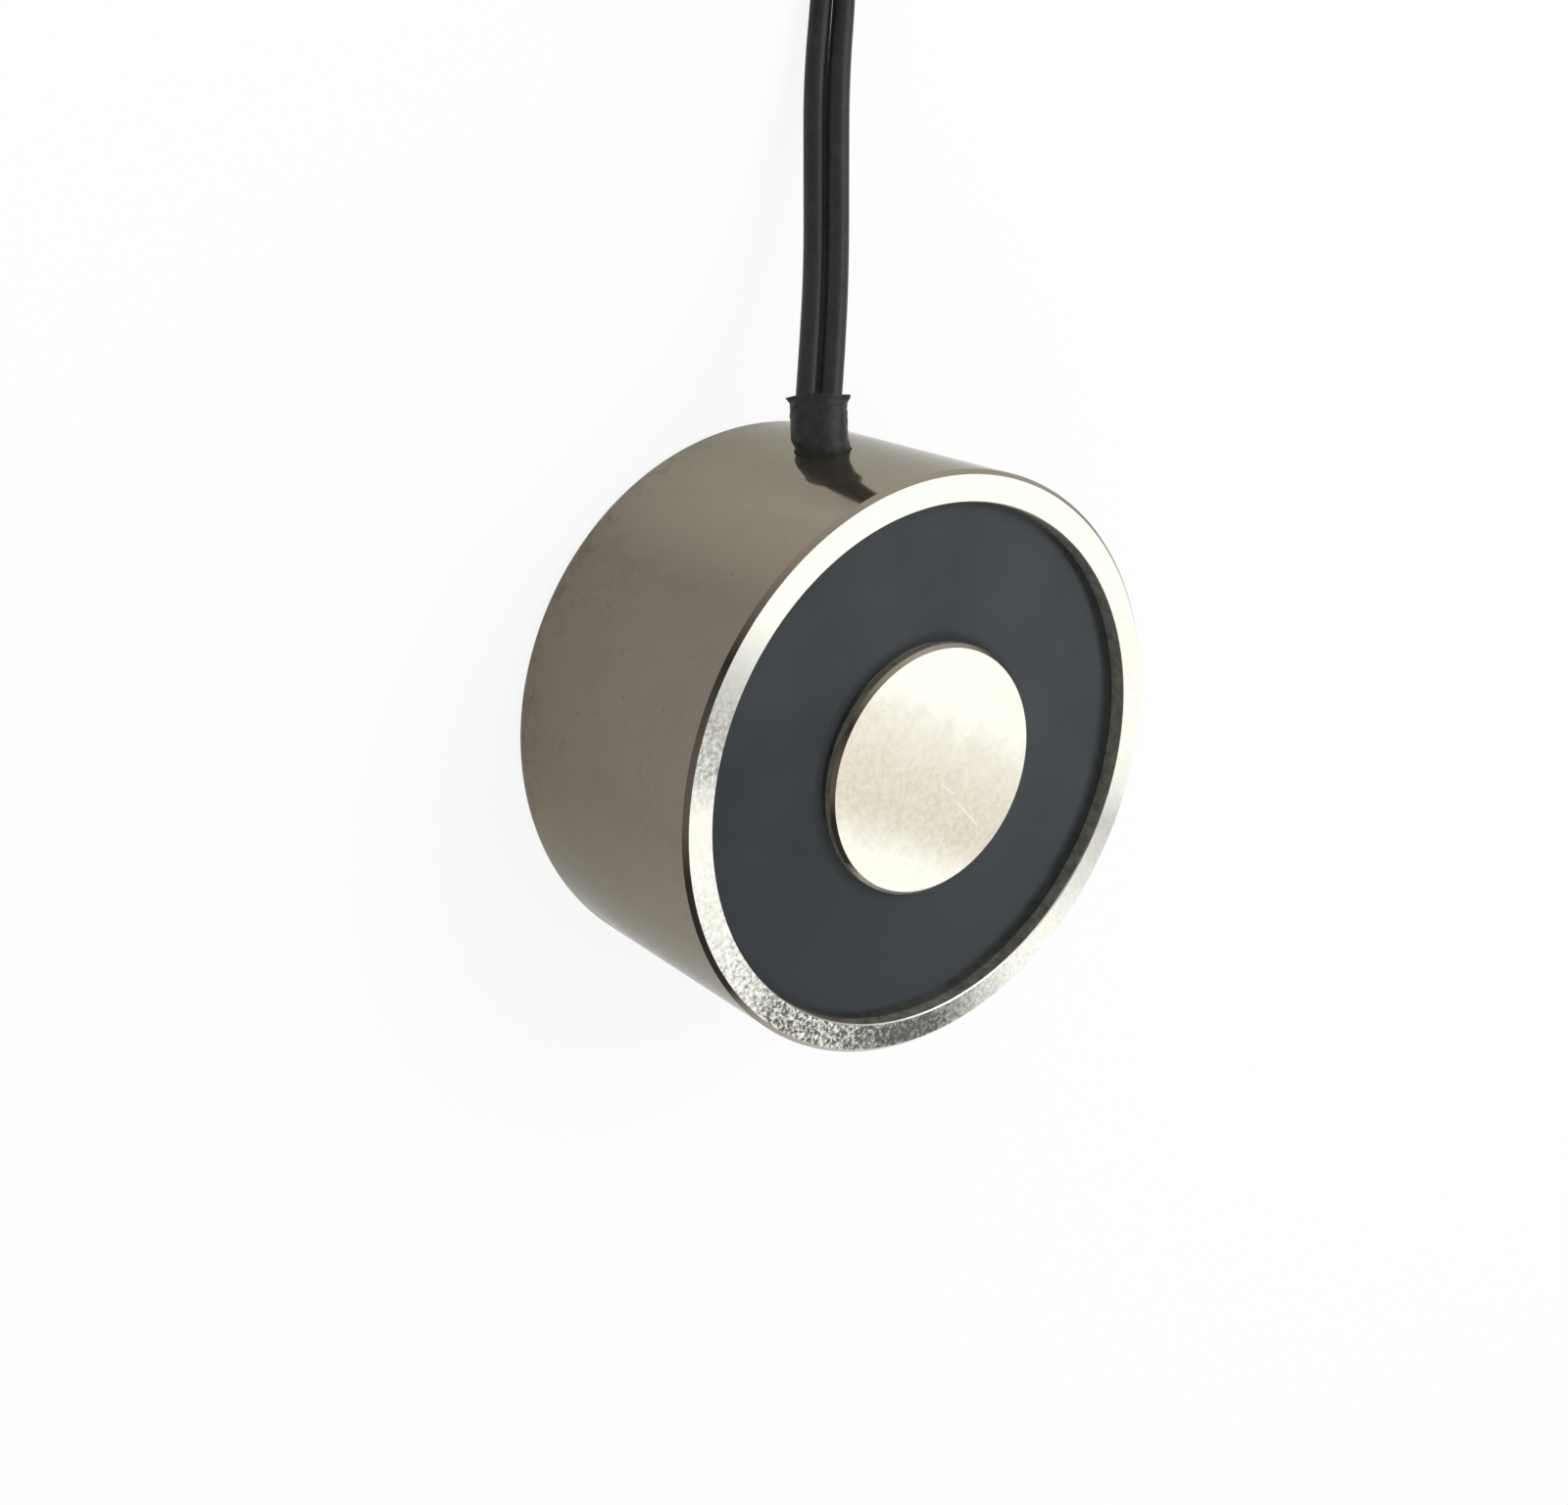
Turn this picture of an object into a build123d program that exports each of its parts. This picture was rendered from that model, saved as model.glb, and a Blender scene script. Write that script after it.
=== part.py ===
# Round holding electromagnet: a turned steel cup with a centre pole, a potted coil and two leads.
# Millimetres. The origin is the centre of the back face, +Z runs along the axis to the holding face,
# and the leads leave the side wall towards -X.

from math import atan2, cos, degrees, pi, radians, sin, sqrt, tan
import os

from build123d import *

os.makedirs("parts", exist_ok=True)

# Steel cup and pole
MAGNET_DIAMETER = 40.0
MAGNET_HEIGHT = 20.0
CUP_WALL = 2.1
CUP_BASE = 5.0
POLE_DIAMETER = 17.3
REAR_EDGE_RADIUS = 1.0
RIM_OUTER_BREAK = 0.3
RIM_INNER_BREAK = 0.08
POLE_EDGE_BREAK = 0.25

# Tapped hole in the back face
THREAD_DIAMETER = 5.0
THREAD_DEPTH = 8.0
THREAD_MOUTH_BREAK = 0.4
TAP_DRILL_DIAMETER = 4.2
TAP_DRILL_RUNOUT = 1.5
DRILL_POINT_ANGLE = 118.0

# Potting
POTTING_BELOW_POLE = 0.76
POTTING_BELOW_RIM = 1.12
POTTING_DISH = 0.12

# Bobbin, winding and tape
BOBBIN_CLEARANCE = 0.15
BOBBIN_BELOW_FACE = 3.2
BOBBIN_CORE_WALL = 0.8
FLANGE_THICKNESS = 0.8
FLANGE_EDGE_GAP = 0.6
FLANGE_SLOT_WIDTH = 0.8
FLANGE_SLOT_INSET = 0.2
TAPE_THICKNESS = 0.25
WIRE_DIAMETER = 0.35
WIRE_BEND_RADIUS = 0.6
WIRE_BURY = 0.5

# Leads, and the sleeve in which they leave the wall
LEAD_DIAMETER = 1.4
LEAD_GAP = 0.04
PAIR_TILT = 42.0
EXIT_HEIGHT = 10.0
SLEEVE_WALL = 0.38
SLEEVE_BORE_CLEARANCE = 0.02
SLEEVE_HOLE_CLEARANCE = 0.08
SLEEVE_LEAN = 28.0
SLEEVE_BEND_RADIUS = 5.5
SLEEVE_LIP_RUN = 0.7
SLEEVE_FLARE = 0.14
SLEEVE_FLARE_LENGTH = 0.55

# Splices between the leads and the winding's wire
SPLICE_ANGLE = 36.0
SPLICE_SLEEVE_LENGTH = 8.0
SPLICE_SLEEVE_WALL = 0.25
SPLICE_WALL_GAP = 0.45
SPLICE_TAPE_GAP = 0.25
SPLICE_OVERLAP = 2.5
JOINT_DIAMETER = 1.0
JOINT_LENGTH = 3.5
JOINT_END_BREAK = 0.25
LEAD_TURN_GAP = 0.75
LEAD_TURN_RADIUS = 1.4
LEAD_SECOND_RADIUS = 2.0
WIRE_RUN = 1.0
WIRE_STEP_ANGLE = 10.0

# Free leads: the points after the first run out of the sleeve, chosen by hand
CORD_ARC_SHARE = 0.45
FIRST_RUN = 4.0
LEAD_A_ROUTE = [
    Vector(-31.0, 3.97, 5.21),
    Vector(-36.5, 5.90, 3.28),
    Vector(-42.0, 7.56, 1.87),
    Vector(-47.5, 9.10, 1.02),
    Vector(-53.05, 10.03, 0.73),
]
LEAD_B_ROUTE = [
    Vector(-31.0, 4.93, 6.29),
    Vector(-36.5, 6.90, 4.32),
    Vector(-42.0, 8.64, 2.83),
    Vector(-47.4, 10.30, 1.80),
    Vector(-52.9, 11.44, 1.05),
]

# Coil of the put-away length, both leads side by side in layers, and the ends that leave it
COIL_X = -59.5
COIL_Y = 3.7
COIL_MEAN_DIAMETER = 15.4
COIL_LAYERS = 3
COIL_ENTRY_ANGLE = 84.0
COIL_CORNER_BREAK = 0.4
FLOOR_GAP = 0.03
TAIL_CUT_SHARE = 0.35
TAIL_A_ROUTE = [
    Vector(-62.8, 11.05, 3.50),
    Vector(-66.9, 10.40, 2.40),
    Vector(-70.2, 8.20, 1.20),
    Vector(-72.6, 4.90, 0.73),
    Vector(-74.0, 1.50, 0.72),
]
TAIL_B_ROUTE = [
    Vector(-62.6, 12.60, 3.50),
    Vector(-66.0, 12.40, 1.90),
    Vector(-69.3, 11.30, 0.80),
    Vector(-72.5, 9.70, 0.73),
]
TINNED_DIAMETER = 0.7
TINNED_LENGTH = 6.0
TINNED_END_BREAK = 0.15

# Cable tie round the coil
TIE_ANGLE = 215.0
TIE_WIDTH = 2.2
TIE_THICKNESS = 0.45
TIE_CORNER_RADIUS = 0.3
TIE_CLEARANCE = 0.15
TIE_HEAD_WIDTH = 3.2
TIE_HEAD_DEPTH = 2.4
TIE_HEAD_HEIGHT = 3.0
TIE_HEAD_ROUNDING = 0.3
TIE_STUB_LENGTH = 1.6

# Sizes that follow from those above
cup_radius = MAGNET_DIAMETER / 2
cup_inner_radius = cup_radius - CUP_WALL
pole_radius = POLE_DIAMETER / 2
lead_radius = LEAD_DIAMETER / 2
pair_offset = (LEAD_DIAMETER + LEAD_GAP) / 2
sleeve_bore_radius = pair_offset + lead_radius + SLEEVE_BORE_CLEARANCE
sleeve_radius = sleeve_bore_radius + SLEEVE_WALL
exit_hole_radius = sleeve_radius + SLEEVE_HOLE_CLEARANCE
bobbin_bore_radius = pole_radius + BOBBIN_CLEARANCE
core_radius = bobbin_bore_radius + BOBBIN_CORE_WALL
flange_radius = cup_inner_radius - FLANGE_EDGE_GAP
# The splices lie between the cup's wall, which their outer corners come near, and the taped winding
splice_sleeve_radius = lead_radius + SPLICE_SLEEVE_WALL
splice_outer_side = sqrt((cup_inner_radius - SPLICE_WALL_GAP) ** 2 - (SPLICE_SLEEVE_LENGTH / 2) ** 2)
splice_circle = splice_outer_side - splice_sleeve_radius
tape_radius = splice_circle - splice_sleeve_radius - SPLICE_TAPE_GAP
winding_radius = tape_radius - TAPE_THICKNESS
bobbin_top = MAGNET_HEIGHT - BOBBIN_BELOW_FACE
winding_bottom = CUP_BASE + FLANGE_THICKNESS
winding_top = bobbin_top - FLANGE_THICKNESS

# The pair lies side by side across the way in which the sleeve leans
pair_side = Vector(0, cos(radians(PAIR_TILT)), sin(radians(PAIR_TILT)))
lean_side = Vector(0, sin(radians(PAIR_TILT)), -cos(radians(PAIR_TILT)))
outward = Vector(-1, 0, 0)
lean_direction = outward * cos(radians(SLEEVE_LEAN)) + lean_side * sin(radians(SLEEVE_LEAN))
sleeve_start = Vector(-cup_inner_radius, 0, EXIT_HEIGHT)
bend_reach = SLEEVE_BEND_RADIUS * tan(radians(SLEEVE_LEAN / 2))
sleeve_corner = Vector(-cup_radius, 0, EXIT_HEIGHT) + outward * bend_reach
bend_end = sleeve_corner + lean_direction * bend_reach
sleeve_mouth = bend_end + lean_direction * SLEEVE_LIP_RUN
# The free stretch of each lead is counted from inside the sleeve's lip
lead_start = bend_end + lean_direction * (SLEEVE_LIP_RUN / 2)

# Lead a is on the -Y side of the pair, lead b on the +Y side
SIDES = {"a": -1, "b": 1}


def fillet_path(points, radii):
    """One wire of straight runs joined by tangent arcs."""
    with BuildLine() as line:
        FilletPolyline(*points, radius=radii)
    return line.wire()


def cord_path(points):
    """A cord's wire: each arc is as large as its two runs allow."""
    radii = []
    for before, here, after in zip(points, points[1:], points[2:]):
        half_turn = radians((here - before).get_angle(after - here)) / 2
        shorter_run = min((here - before).length, (after - here).length)
        radii.append(CORD_ARC_SHARE * shorter_run / tan(half_turn))
    return fillet_path(points, radii), min(radii)


def start_plane(path):
    """The plane across a wire's beginning."""
    return Plane(origin=path @ 0, z_dir=path % 0)


def round_bar(path, radius):
    """A solid of round section along a wire."""
    with BuildPart() as bar:
        with BuildSketch(start_plane(path)):
            Circle(radius)
        sweep(path=path)
    return bar.part


def cord_tube(name, points):
    """A free stretch of a lead and its wire, with its length and tightest bend printed."""
    path, smallest = cord_path(points)
    tube = round_bar(path, lead_radius)
    section = pi * lead_radius**2
    print(f"{name}: {path.length:.1f} long, smallest radius {smallest:.1f}")
    print(f"  volume {tube.volume:.2f}, section times length {section * path.length:.2f}")
    return tube, path


def write(piece, name):
    """Label a finished piece and write its file."""
    piece.label = name
    export_step(piece, f"parts/{name}.step")


# Steel cup with its pole, turned in one piece
with BuildPart() as magnet_body:
    with BuildSketch(Plane.XZ):
        with BuildLine():
            Polyline(
                (0, 0),
                (cup_radius, 0),
                (cup_radius, MAGNET_HEIGHT),
                (cup_inner_radius, MAGNET_HEIGHT),
                (cup_inner_radius, CUP_BASE),
                (pole_radius, CUP_BASE),
                (pole_radius, MAGNET_HEIGHT),
                (0, MAGNET_HEIGHT),
                close=True,
            )
        make_face()
    revolve(axis=Axis.Z)
    circles = magnet_body.edges().filter_by(GeomType.CIRCLE)
    rear_circle = circles.group_by(Axis.Z)[0].sort_by(SortBy.RADIUS)[-1]
    pole_circle, rim_inner_circle, rim_outer_circle = circles.group_by(Axis.Z)[-1].sort_by(SortBy.RADIUS)
    fillet(rear_circle, REAR_EDGE_RADIUS)
    chamfer(pole_circle, POLE_EDGE_BREAK)
    chamfer(rim_inner_circle, RIM_INNER_BREAK)
    chamfer(rim_outer_circle, RIM_OUTER_BREAK)
    # Side hole for the sleeve, cut from the middle of the wall both ways
    wall_middle = sleeve_start + outward * (CUP_WALL / 2)
    with BuildSketch(Plane(origin=wall_middle, z_dir=outward)):
        Circle(exit_hole_radius)
    extrude(amount=CUP_WALL, both=True, mode=Mode.SUBTRACT)
    # Tapped hole: mouth chamfer, thread, drilled run-out and drill point
    drill_end = THREAD_DEPTH + TAP_DRILL_RUNOUT
    drill_point = TAP_DRILL_DIAMETER / 2 / tan(radians(DRILL_POINT_ANGLE / 2))
    with BuildSketch(Plane.XZ):
        with BuildLine():
            Polyline(
                (0, 0),
                (THREAD_DIAMETER / 2 + THREAD_MOUTH_BREAK, 0),
                (THREAD_DIAMETER / 2, THREAD_MOUTH_BREAK),
                (THREAD_DIAMETER / 2, THREAD_DEPTH),
                (TAP_DRILL_DIAMETER / 2, THREAD_DEPTH),
                (TAP_DRILL_DIAMETER / 2, drill_end),
                (0, drill_end + drill_point),
                close=True,
            )
        make_face()
    revolve(axis=Axis.Z, mode=Mode.SUBTRACT)

# Heat-shrink sleeve: straight through the wall, then leaning over with the leads to a flared lip
sleeve_path = fillet_path([sleeve_start, sleeve_corner, sleeve_mouth], SLEEVE_BEND_RADIUS)
flare_taper = degrees(atan2(SLEEVE_FLARE, SLEEVE_FLARE_LENGTH))
with BuildPart() as exit_sleeve:
    with BuildSketch(start_plane(sleeve_path)):
        Circle(sleeve_radius)
    sweep(path=sleeve_path)
    with BuildSketch(Plane(origin=sleeve_mouth, z_dir=-lean_direction)):
        Circle(sleeve_radius + SLEEVE_FLARE)
    extrude(amount=SLEEVE_FLARE_LENGTH, taper=flare_taper)
    with BuildSketch(start_plane(sleeve_path)):
        Circle(sleeve_bore_radius)
    sweep(path=sleeve_path, mode=Mode.SUBTRACT)

# Splices: each lead turns away from its neighbour inside the wall and ends beside the winding
lead_turn_x = -(tape_radius + LEAD_TURN_GAP + lead_radius)
inner_leads = {}
splice_joints = {}
splice_sleeves = {}
wire_starts = {}
wire_corners = {}
for letter, side in SIDES.items():
    place = pair_side * pair_offset * side
    direction = Vector(sin(radians(SPLICE_ANGLE)), side * cos(radians(SPLICE_ANGLE)), 0)
    centre = Vector(
        -splice_circle * cos(radians(SPLICE_ANGLE)),
        splice_circle * sin(radians(SPLICE_ANGLE)) * side,
        EXIT_HEIGHT + place.Z,
    )
    sleeve_near_end = centre - direction * (SPLICE_SLEEVE_LENGTH / 2)
    lead_end = sleeve_near_end + direction * SPLICE_OVERLAP
    lead_second_turn = centre - direction * ((centre.X - lead_turn_x) / direction.X)
    lead_first_turn = Vector(lead_turn_x, place.Y, centre.Z)
    inner_path = fillet_path(
        [lead_end, lead_second_turn, lead_first_turn, sleeve_corner + place, lead_start + place],
        [LEAD_SECOND_RADIUS, LEAD_TURN_RADIUS, SLEEVE_BEND_RADIUS],
    )
    inner_leads[letter] = round_bar(inner_path, lead_radius)

    # Soldered joint, drawn in at both ends where the solder ran out
    with BuildPart() as splice_joint:
        with BuildSketch(Plane(origin=lead_end, z_dir=direction)):
            Circle(JOINT_DIAMETER / 2)
        extrude(amount=JOINT_LENGTH)
        chamfer(splice_joint.edges().filter_by(GeomType.CIRCLE), JOINT_END_BREAK)
    splice_joints[letter] = splice_joint.part

    # Insulating tube over the joint and the lead's end
    with BuildPart() as splice_sleeve:
        with BuildSketch(Plane(origin=sleeve_near_end, z_dir=direction)):
            Circle(splice_sleeve_radius)
            Circle(lead_radius, mode=Mode.SUBTRACT)
        extrude(amount=SPLICE_SLEEVE_LENGTH)
    splice_sleeves[letter] = splice_sleeve.part

    wire_starts[letter] = lead_end + direction * JOINT_LENGTH
    wire_corners[letter] = centre + direction * (SPLICE_SLEEVE_LENGTH / 2 + WIRE_RUN)

# Bobbin: core and two flanges, with a slot in the top flange where the start wire goes in
slot_angle = degrees(atan2(wire_corners["a"].Y, wire_corners["a"].X))
slot_length = flange_radius - core_radius
with BuildPart() as coil_bobbin:
    with BuildSketch(Plane.XZ):
        with BuildLine():
            Polyline(
                (bobbin_bore_radius, CUP_BASE),
                (flange_radius, CUP_BASE),
                (flange_radius, winding_bottom),
                (core_radius, winding_bottom),
                (core_radius, winding_top),
                (flange_radius, winding_top),
                (flange_radius, bobbin_top),
                (bobbin_bore_radius, bobbin_top),
                close=True,
            )
        make_face()
    revolve(axis=Axis.Z)
    with BuildSketch(Plane.XY.offset(winding_top).rotated((0, 0, slot_angle))):
        with Locations((core_radius + FLANGE_SLOT_INSET + slot_length, 0)):
            Rectangle(2 * slot_length, FLANGE_SLOT_WIDTH)
    extrude(amount=FLANGE_THICKNESS, mode=Mode.SUBTRACT)

# Winding with its two wire ends: the start wire comes up through the flange's slot
slot_middle = bobbin_top - FLANGE_THICKNESS / 2
start_corner = wire_corners["a"]
start_over_flange = Vector(start_corner.X, start_corner.Y, slot_middle)
start_inner_radius = core_radius + WIRE_BEND_RADIUS
start_at_core = Vector(
    start_inner_radius * cos(radians(slot_angle)),
    start_inner_radius * sin(radians(slot_angle)),
    slot_middle,
)
start_in_winding = Vector(start_at_core.X, start_at_core.Y, winding_top - WIRE_BURY)
start_path = fillet_path(
    [wire_starts["a"], start_corner, start_over_flange, start_at_core, start_in_winding],
    WIRE_BEND_RADIUS,
)
finish_corner = wire_corners["b"]
finish_angle = atan2(finish_corner.Y, finish_corner.X) - radians(WIRE_STEP_ANGLE)
finish_radius = winding_radius - WIRE_BURY
finish_in_winding = Vector(
    finish_radius * cos(finish_angle),
    finish_radius * sin(finish_angle),
    finish_corner.Z,
)
finish_path = fillet_path([wire_starts["b"], finish_corner, finish_in_winding], WIRE_BEND_RADIUS)
with BuildPart() as coil_winding:
    with BuildSketch(Plane.XY.offset(winding_bottom)):
        Circle(winding_radius)
        Circle(core_radius, mode=Mode.SUBTRACT)
    extrude(amount=winding_top - winding_bottom)
    for wire_path in (start_path, finish_path):
        with BuildSketch(start_plane(wire_path)):
            Circle(WIRE_DIAMETER / 2)
        sweep(path=wire_path)

# Tape round the winding, with the finish wire through it
with BuildPart() as winding_tape:
    with BuildSketch(Plane.XY.offset(winding_bottom)):
        Circle(tape_radius)
        Circle(winding_radius, mode=Mode.SUBTRACT)
    extrude(amount=winding_top - winding_bottom)
    add(coil_winding.part, mode=Mode.SUBTRACT)

# Potting: fills the ring between cup and pole round everything that lies in it
held_pieces = [
    coil_bobbin.part,
    coil_winding.part,
    winding_tape.part,
    *splice_sleeves.values(),
    *splice_joints.values(),
    *inner_leads.values(),
]
with BuildPart() as potting_resin:
    with BuildSketch(Plane.XZ):
        with BuildLine():
            pole_side = (pole_radius, MAGNET_HEIGHT - POTTING_BELOW_POLE)
            rim_side = (cup_inner_radius, MAGNET_HEIGHT - POTTING_BELOW_RIM)
            SagittaArc(pole_side, rim_side, -POTTING_DISH)
            Polyline(rim_side, (cup_inner_radius, CUP_BASE), (pole_radius, CUP_BASE), pole_side)
        make_face()
    revolve(axis=Axis.Z)
    for held_piece in held_pieces:
        add(held_piece, mode=Mode.SUBTRACT)

# Coil of the put-away length, with the stretches of lead that run into and out of it
coil_centre = Vector(COIL_X, COIL_Y, 0)
entry_side = Vector(cos(radians(COIL_ENTRY_ANGLE)), sin(radians(COIL_ENTRY_ANGLE)), 0)
layer_pitch = LEAD_DIAMETER + LEAD_GAP
coil_mean_radius = COIL_MEAN_DIAMETER / 2
coil_width = 2 * (pair_offset + lead_radius)
coil_height = COIL_LAYERS * layer_pitch
lowest_centre = lead_radius + FLOOR_GAP
highest_centre = lowest_centre + (COIL_LAYERS - 1) * layer_pitch
free_leads = {}
tails = {}
tinned_ends = {}
coil_paths = []
routes = {"a": (LEAD_A_ROUTE, TAIL_A_ROUTE), "b": (LEAD_B_ROUTE, TAIL_B_ROUTE)}
for letter, side in SIDES.items():
    lead_route, tail_route = routes[letter]
    start = lead_start + pair_side * pair_offset * side
    first_point = start + lean_direction * FIRST_RUN
    on_coil = coil_centre + entry_side * (coil_mean_radius + pair_offset * side)
    coil_entry = on_coil + Vector(0, 0, lowest_centre)
    coil_exit = on_coil + Vector(0, 0, highest_centre)
    # Lead and tail end where they are still clear of the coil, which holds the rest
    lead_cut = (lead_route[-2] + lead_route[-1]) / 2
    tail_cut = tail_route[1] + (tail_route[2] - tail_route[1]) * TAIL_CUT_SHARE
    free_leads[letter], _ = cord_tube(
        f"lead_{letter}", [start, first_point, *lead_route[:-1], lead_cut]
    )
    tails[letter], tail_path = cord_tube(f"lead_tail_{letter}", [tail_cut, *tail_route[2:]])
    coil_paths.append(cord_path([lead_cut, lead_route[-1], coil_entry])[0])
    coil_paths.append(cord_path([coil_exit, tail_route[0], tail_route[1], tail_cut])[0])

    # Stripped and tinned end of the lead
    with BuildPart() as tinned_end:
        with BuildSketch(Plane(origin=tail_path @ 1, z_dir=tail_path % 1)):
            Circle(TINNED_DIAMETER / 2)
        extrude(amount=TINNED_LENGTH)
        tip = tinned_end.faces().filter_by(GeomType.PLANE).sort_by_distance(tail_path @ 1)[-1]
        chamfer(tip.edges(), TINNED_END_BREAK)
    tinned_ends[letter] = tinned_end.part

# Cable tie: a loop round the coil's section, its head on the outside and the cut end standing out of it
tie_side = Vector(cos(radians(TIE_ANGLE)), sin(radians(TIE_ANGLE)), 0)
tie_along = Vector(-sin(radians(TIE_ANGLE)), cos(radians(TIE_ANGLE)), 0)
loop_inner_width = coil_width + 2 * TIE_CLEARANCE
loop_inner_height = coil_height
loop_outer_width = loop_inner_width + 2 * TIE_THICKNESS
loop_outer_height = loop_inner_height + 2 * TIE_THICKNESS
head_x = loop_outer_width / 2 + TIE_HEAD_DEPTH / 2
stub_x = head_x - TIE_HEAD_DEPTH / 4
with BuildPart() as coil_tie:
    tie_centre = coil_centre + tie_side * coil_mean_radius + Vector(0, 0, loop_outer_height / 2)
    with BuildSketch(Plane(origin=tie_centre, x_dir=tie_side, z_dir=-tie_along)):
        RectangleRounded(loop_outer_width, loop_outer_height, TIE_CORNER_RADIUS + TIE_THICKNESS)
        RectangleRounded(loop_inner_width, loop_inner_height, TIE_CORNER_RADIUS, mode=Mode.SUBTRACT)
        with Locations((stub_x, TIE_HEAD_HEIGHT / 2 + TIE_STUB_LENGTH / 2)):
            Rectangle(TIE_THICKNESS, TIE_STUB_LENGTH)
    extrude(amount=TIE_WIDTH / 2, both=True)
    with BuildSketch(Plane(origin=tie_centre, x_dir=tie_side, z_dir=-tie_along)):
        with Locations((head_x, 0)):
            RectangleRounded(TIE_HEAD_DEPTH, TIE_HEAD_HEIGHT, TIE_HEAD_ROUNDING)
    extrude(amount=TIE_HEAD_WIDTH / 2, both=True)

# The coil's outer shape, let in where the tie passes under it
with BuildPart() as lead_coil:
    with BuildSketch(Plane(origin=coil_centre, x_dir=(1, 0, 0), z_dir=(0, -1, 0))) as coil_section:
        with Locations((coil_mean_radius, coil_height / 2)):
            Rectangle(coil_width, coil_height)
        chamfer(coil_section.vertices(), COIL_CORNER_BREAK)
    revolve(axis=Axis(coil_centre, (0, 0, 1)))
    for coil_path in coil_paths:
        with BuildSketch(start_plane(coil_path)):
            Circle(lead_radius)
        sweep(path=coil_path)
    with BuildSketch(Plane(origin=coil_centre, x_dir=tie_side, z_dir=(0, 0, 1))):
        with Locations((coil_mean_radius, 0)):
            Rectangle(2 * coil_width, TIE_WIDTH + 2 * TIE_CLEARANCE)
    extrude(amount=TIE_THICKNESS + TIE_CLEARANCE, mode=Mode.SUBTRACT)

write(magnet_body.part, "magnet_body")
write(potting_resin.part, "potting_resin")
write(coil_bobbin.part, "coil_bobbin")
write(coil_winding.part, "coil_winding")
write(winding_tape.part, "winding_tape")
write(exit_sleeve.part, "exit_sleeve")
write(lead_coil.part, "lead_coil")
write(coil_tie.part, "coil_tie")
for letter in SIDES:
    write(splice_joints[letter], f"splice_joint_{letter}")
    write(splice_sleeves[letter], f"splice_sleeve_{letter}")
    write(inner_leads[letter], f"inner_lead_{letter}")
    write(free_leads[letter], f"lead_{letter}")
    write(tails[letter], f"lead_tail_{letter}")
    write(tinned_ends[letter], f"tinned_end_{letter}")
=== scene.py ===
"""Looks for a round holding electromagnet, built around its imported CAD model."""

from functools import partial
from math import ceil, cos, pi, radians, sin, tan

import bmesh
import bpy
from mathutils import Matrix, Vector, noise


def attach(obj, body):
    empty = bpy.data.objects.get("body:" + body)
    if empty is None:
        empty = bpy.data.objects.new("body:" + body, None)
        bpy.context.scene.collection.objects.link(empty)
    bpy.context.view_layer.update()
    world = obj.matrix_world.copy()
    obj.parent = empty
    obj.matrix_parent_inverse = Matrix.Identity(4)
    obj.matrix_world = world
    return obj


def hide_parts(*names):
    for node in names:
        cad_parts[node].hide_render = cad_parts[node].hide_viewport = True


bl_info = {
    "name": "Holding Electromagnet",
    "version": (1, 0, 0),
    "blender": (4, 5, 0),
    "location": "View3D > Sidebar > Magnet",
    "description": "Dresses a potted round holding electromagnet and lays out its leads",
    "category": "Add Mesh",
}

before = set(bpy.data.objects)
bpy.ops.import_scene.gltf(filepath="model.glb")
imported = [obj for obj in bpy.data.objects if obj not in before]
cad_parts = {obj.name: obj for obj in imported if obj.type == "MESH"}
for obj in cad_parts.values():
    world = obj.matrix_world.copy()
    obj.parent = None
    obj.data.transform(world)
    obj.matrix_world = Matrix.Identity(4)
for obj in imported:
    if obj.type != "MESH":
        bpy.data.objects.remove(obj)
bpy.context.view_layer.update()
BODY = "root"
MM = 0.001

# Sizes of the magnet and of the leads' way out of it, in millimetres of the frame
CUP_RADIUS = 20.0
CUP_INNER_RADIUS = 17.9
CUP_BASE = 5.0
MAGNET_HEIGHT = 20.0
POLE_RADIUS = 8.65
EXIT_HEIGHT = 10.0
EXIT_HOLE_RADIUS = 1.9
SLEEVE_RADIUS = 1.82
SLEEVE_WALL = 0.38
SLEEVE_LEAN = radians(28)
SLEEVE_BEND_RADIUS = 5.5
SLEEVE_LIP_RUN = 0.7
PAIR_TILT = radians(42)
PAIR_PRESS = 0.012
LEAD_SIDES = {"a": -1, "b": 1}

outward = Vector((-1, 0, 0))
pair_side = Vector((0, cos(PAIR_TILT), sin(PAIR_TILT)))
lean_side = Vector((0, sin(PAIR_TILT), -cos(PAIR_TILT)))
lean_direction = outward * cos(SLEEVE_LEAN) + lean_side * sin(SLEEVE_LEAN)
bend_reach = SLEEVE_BEND_RADIUS * tan(SLEEVE_LEAN / 2)
sleeve_corner = Vector((-CUP_RADIUS - bend_reach, 0, EXIT_HEIGHT))
bend_end = sleeve_corner + lean_direction * bend_reach
lead_start = bend_end + lean_direction * (SLEEVE_LIP_RUN / 2)

# The photograph shows the leads a tenth thicker near the sleeve, and the sleeve pulled a little to one side
SEEN_SWELL = 1.1
SWOLLEN_POINTS = 5
SLEEVE_SAG = 0.19

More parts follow.
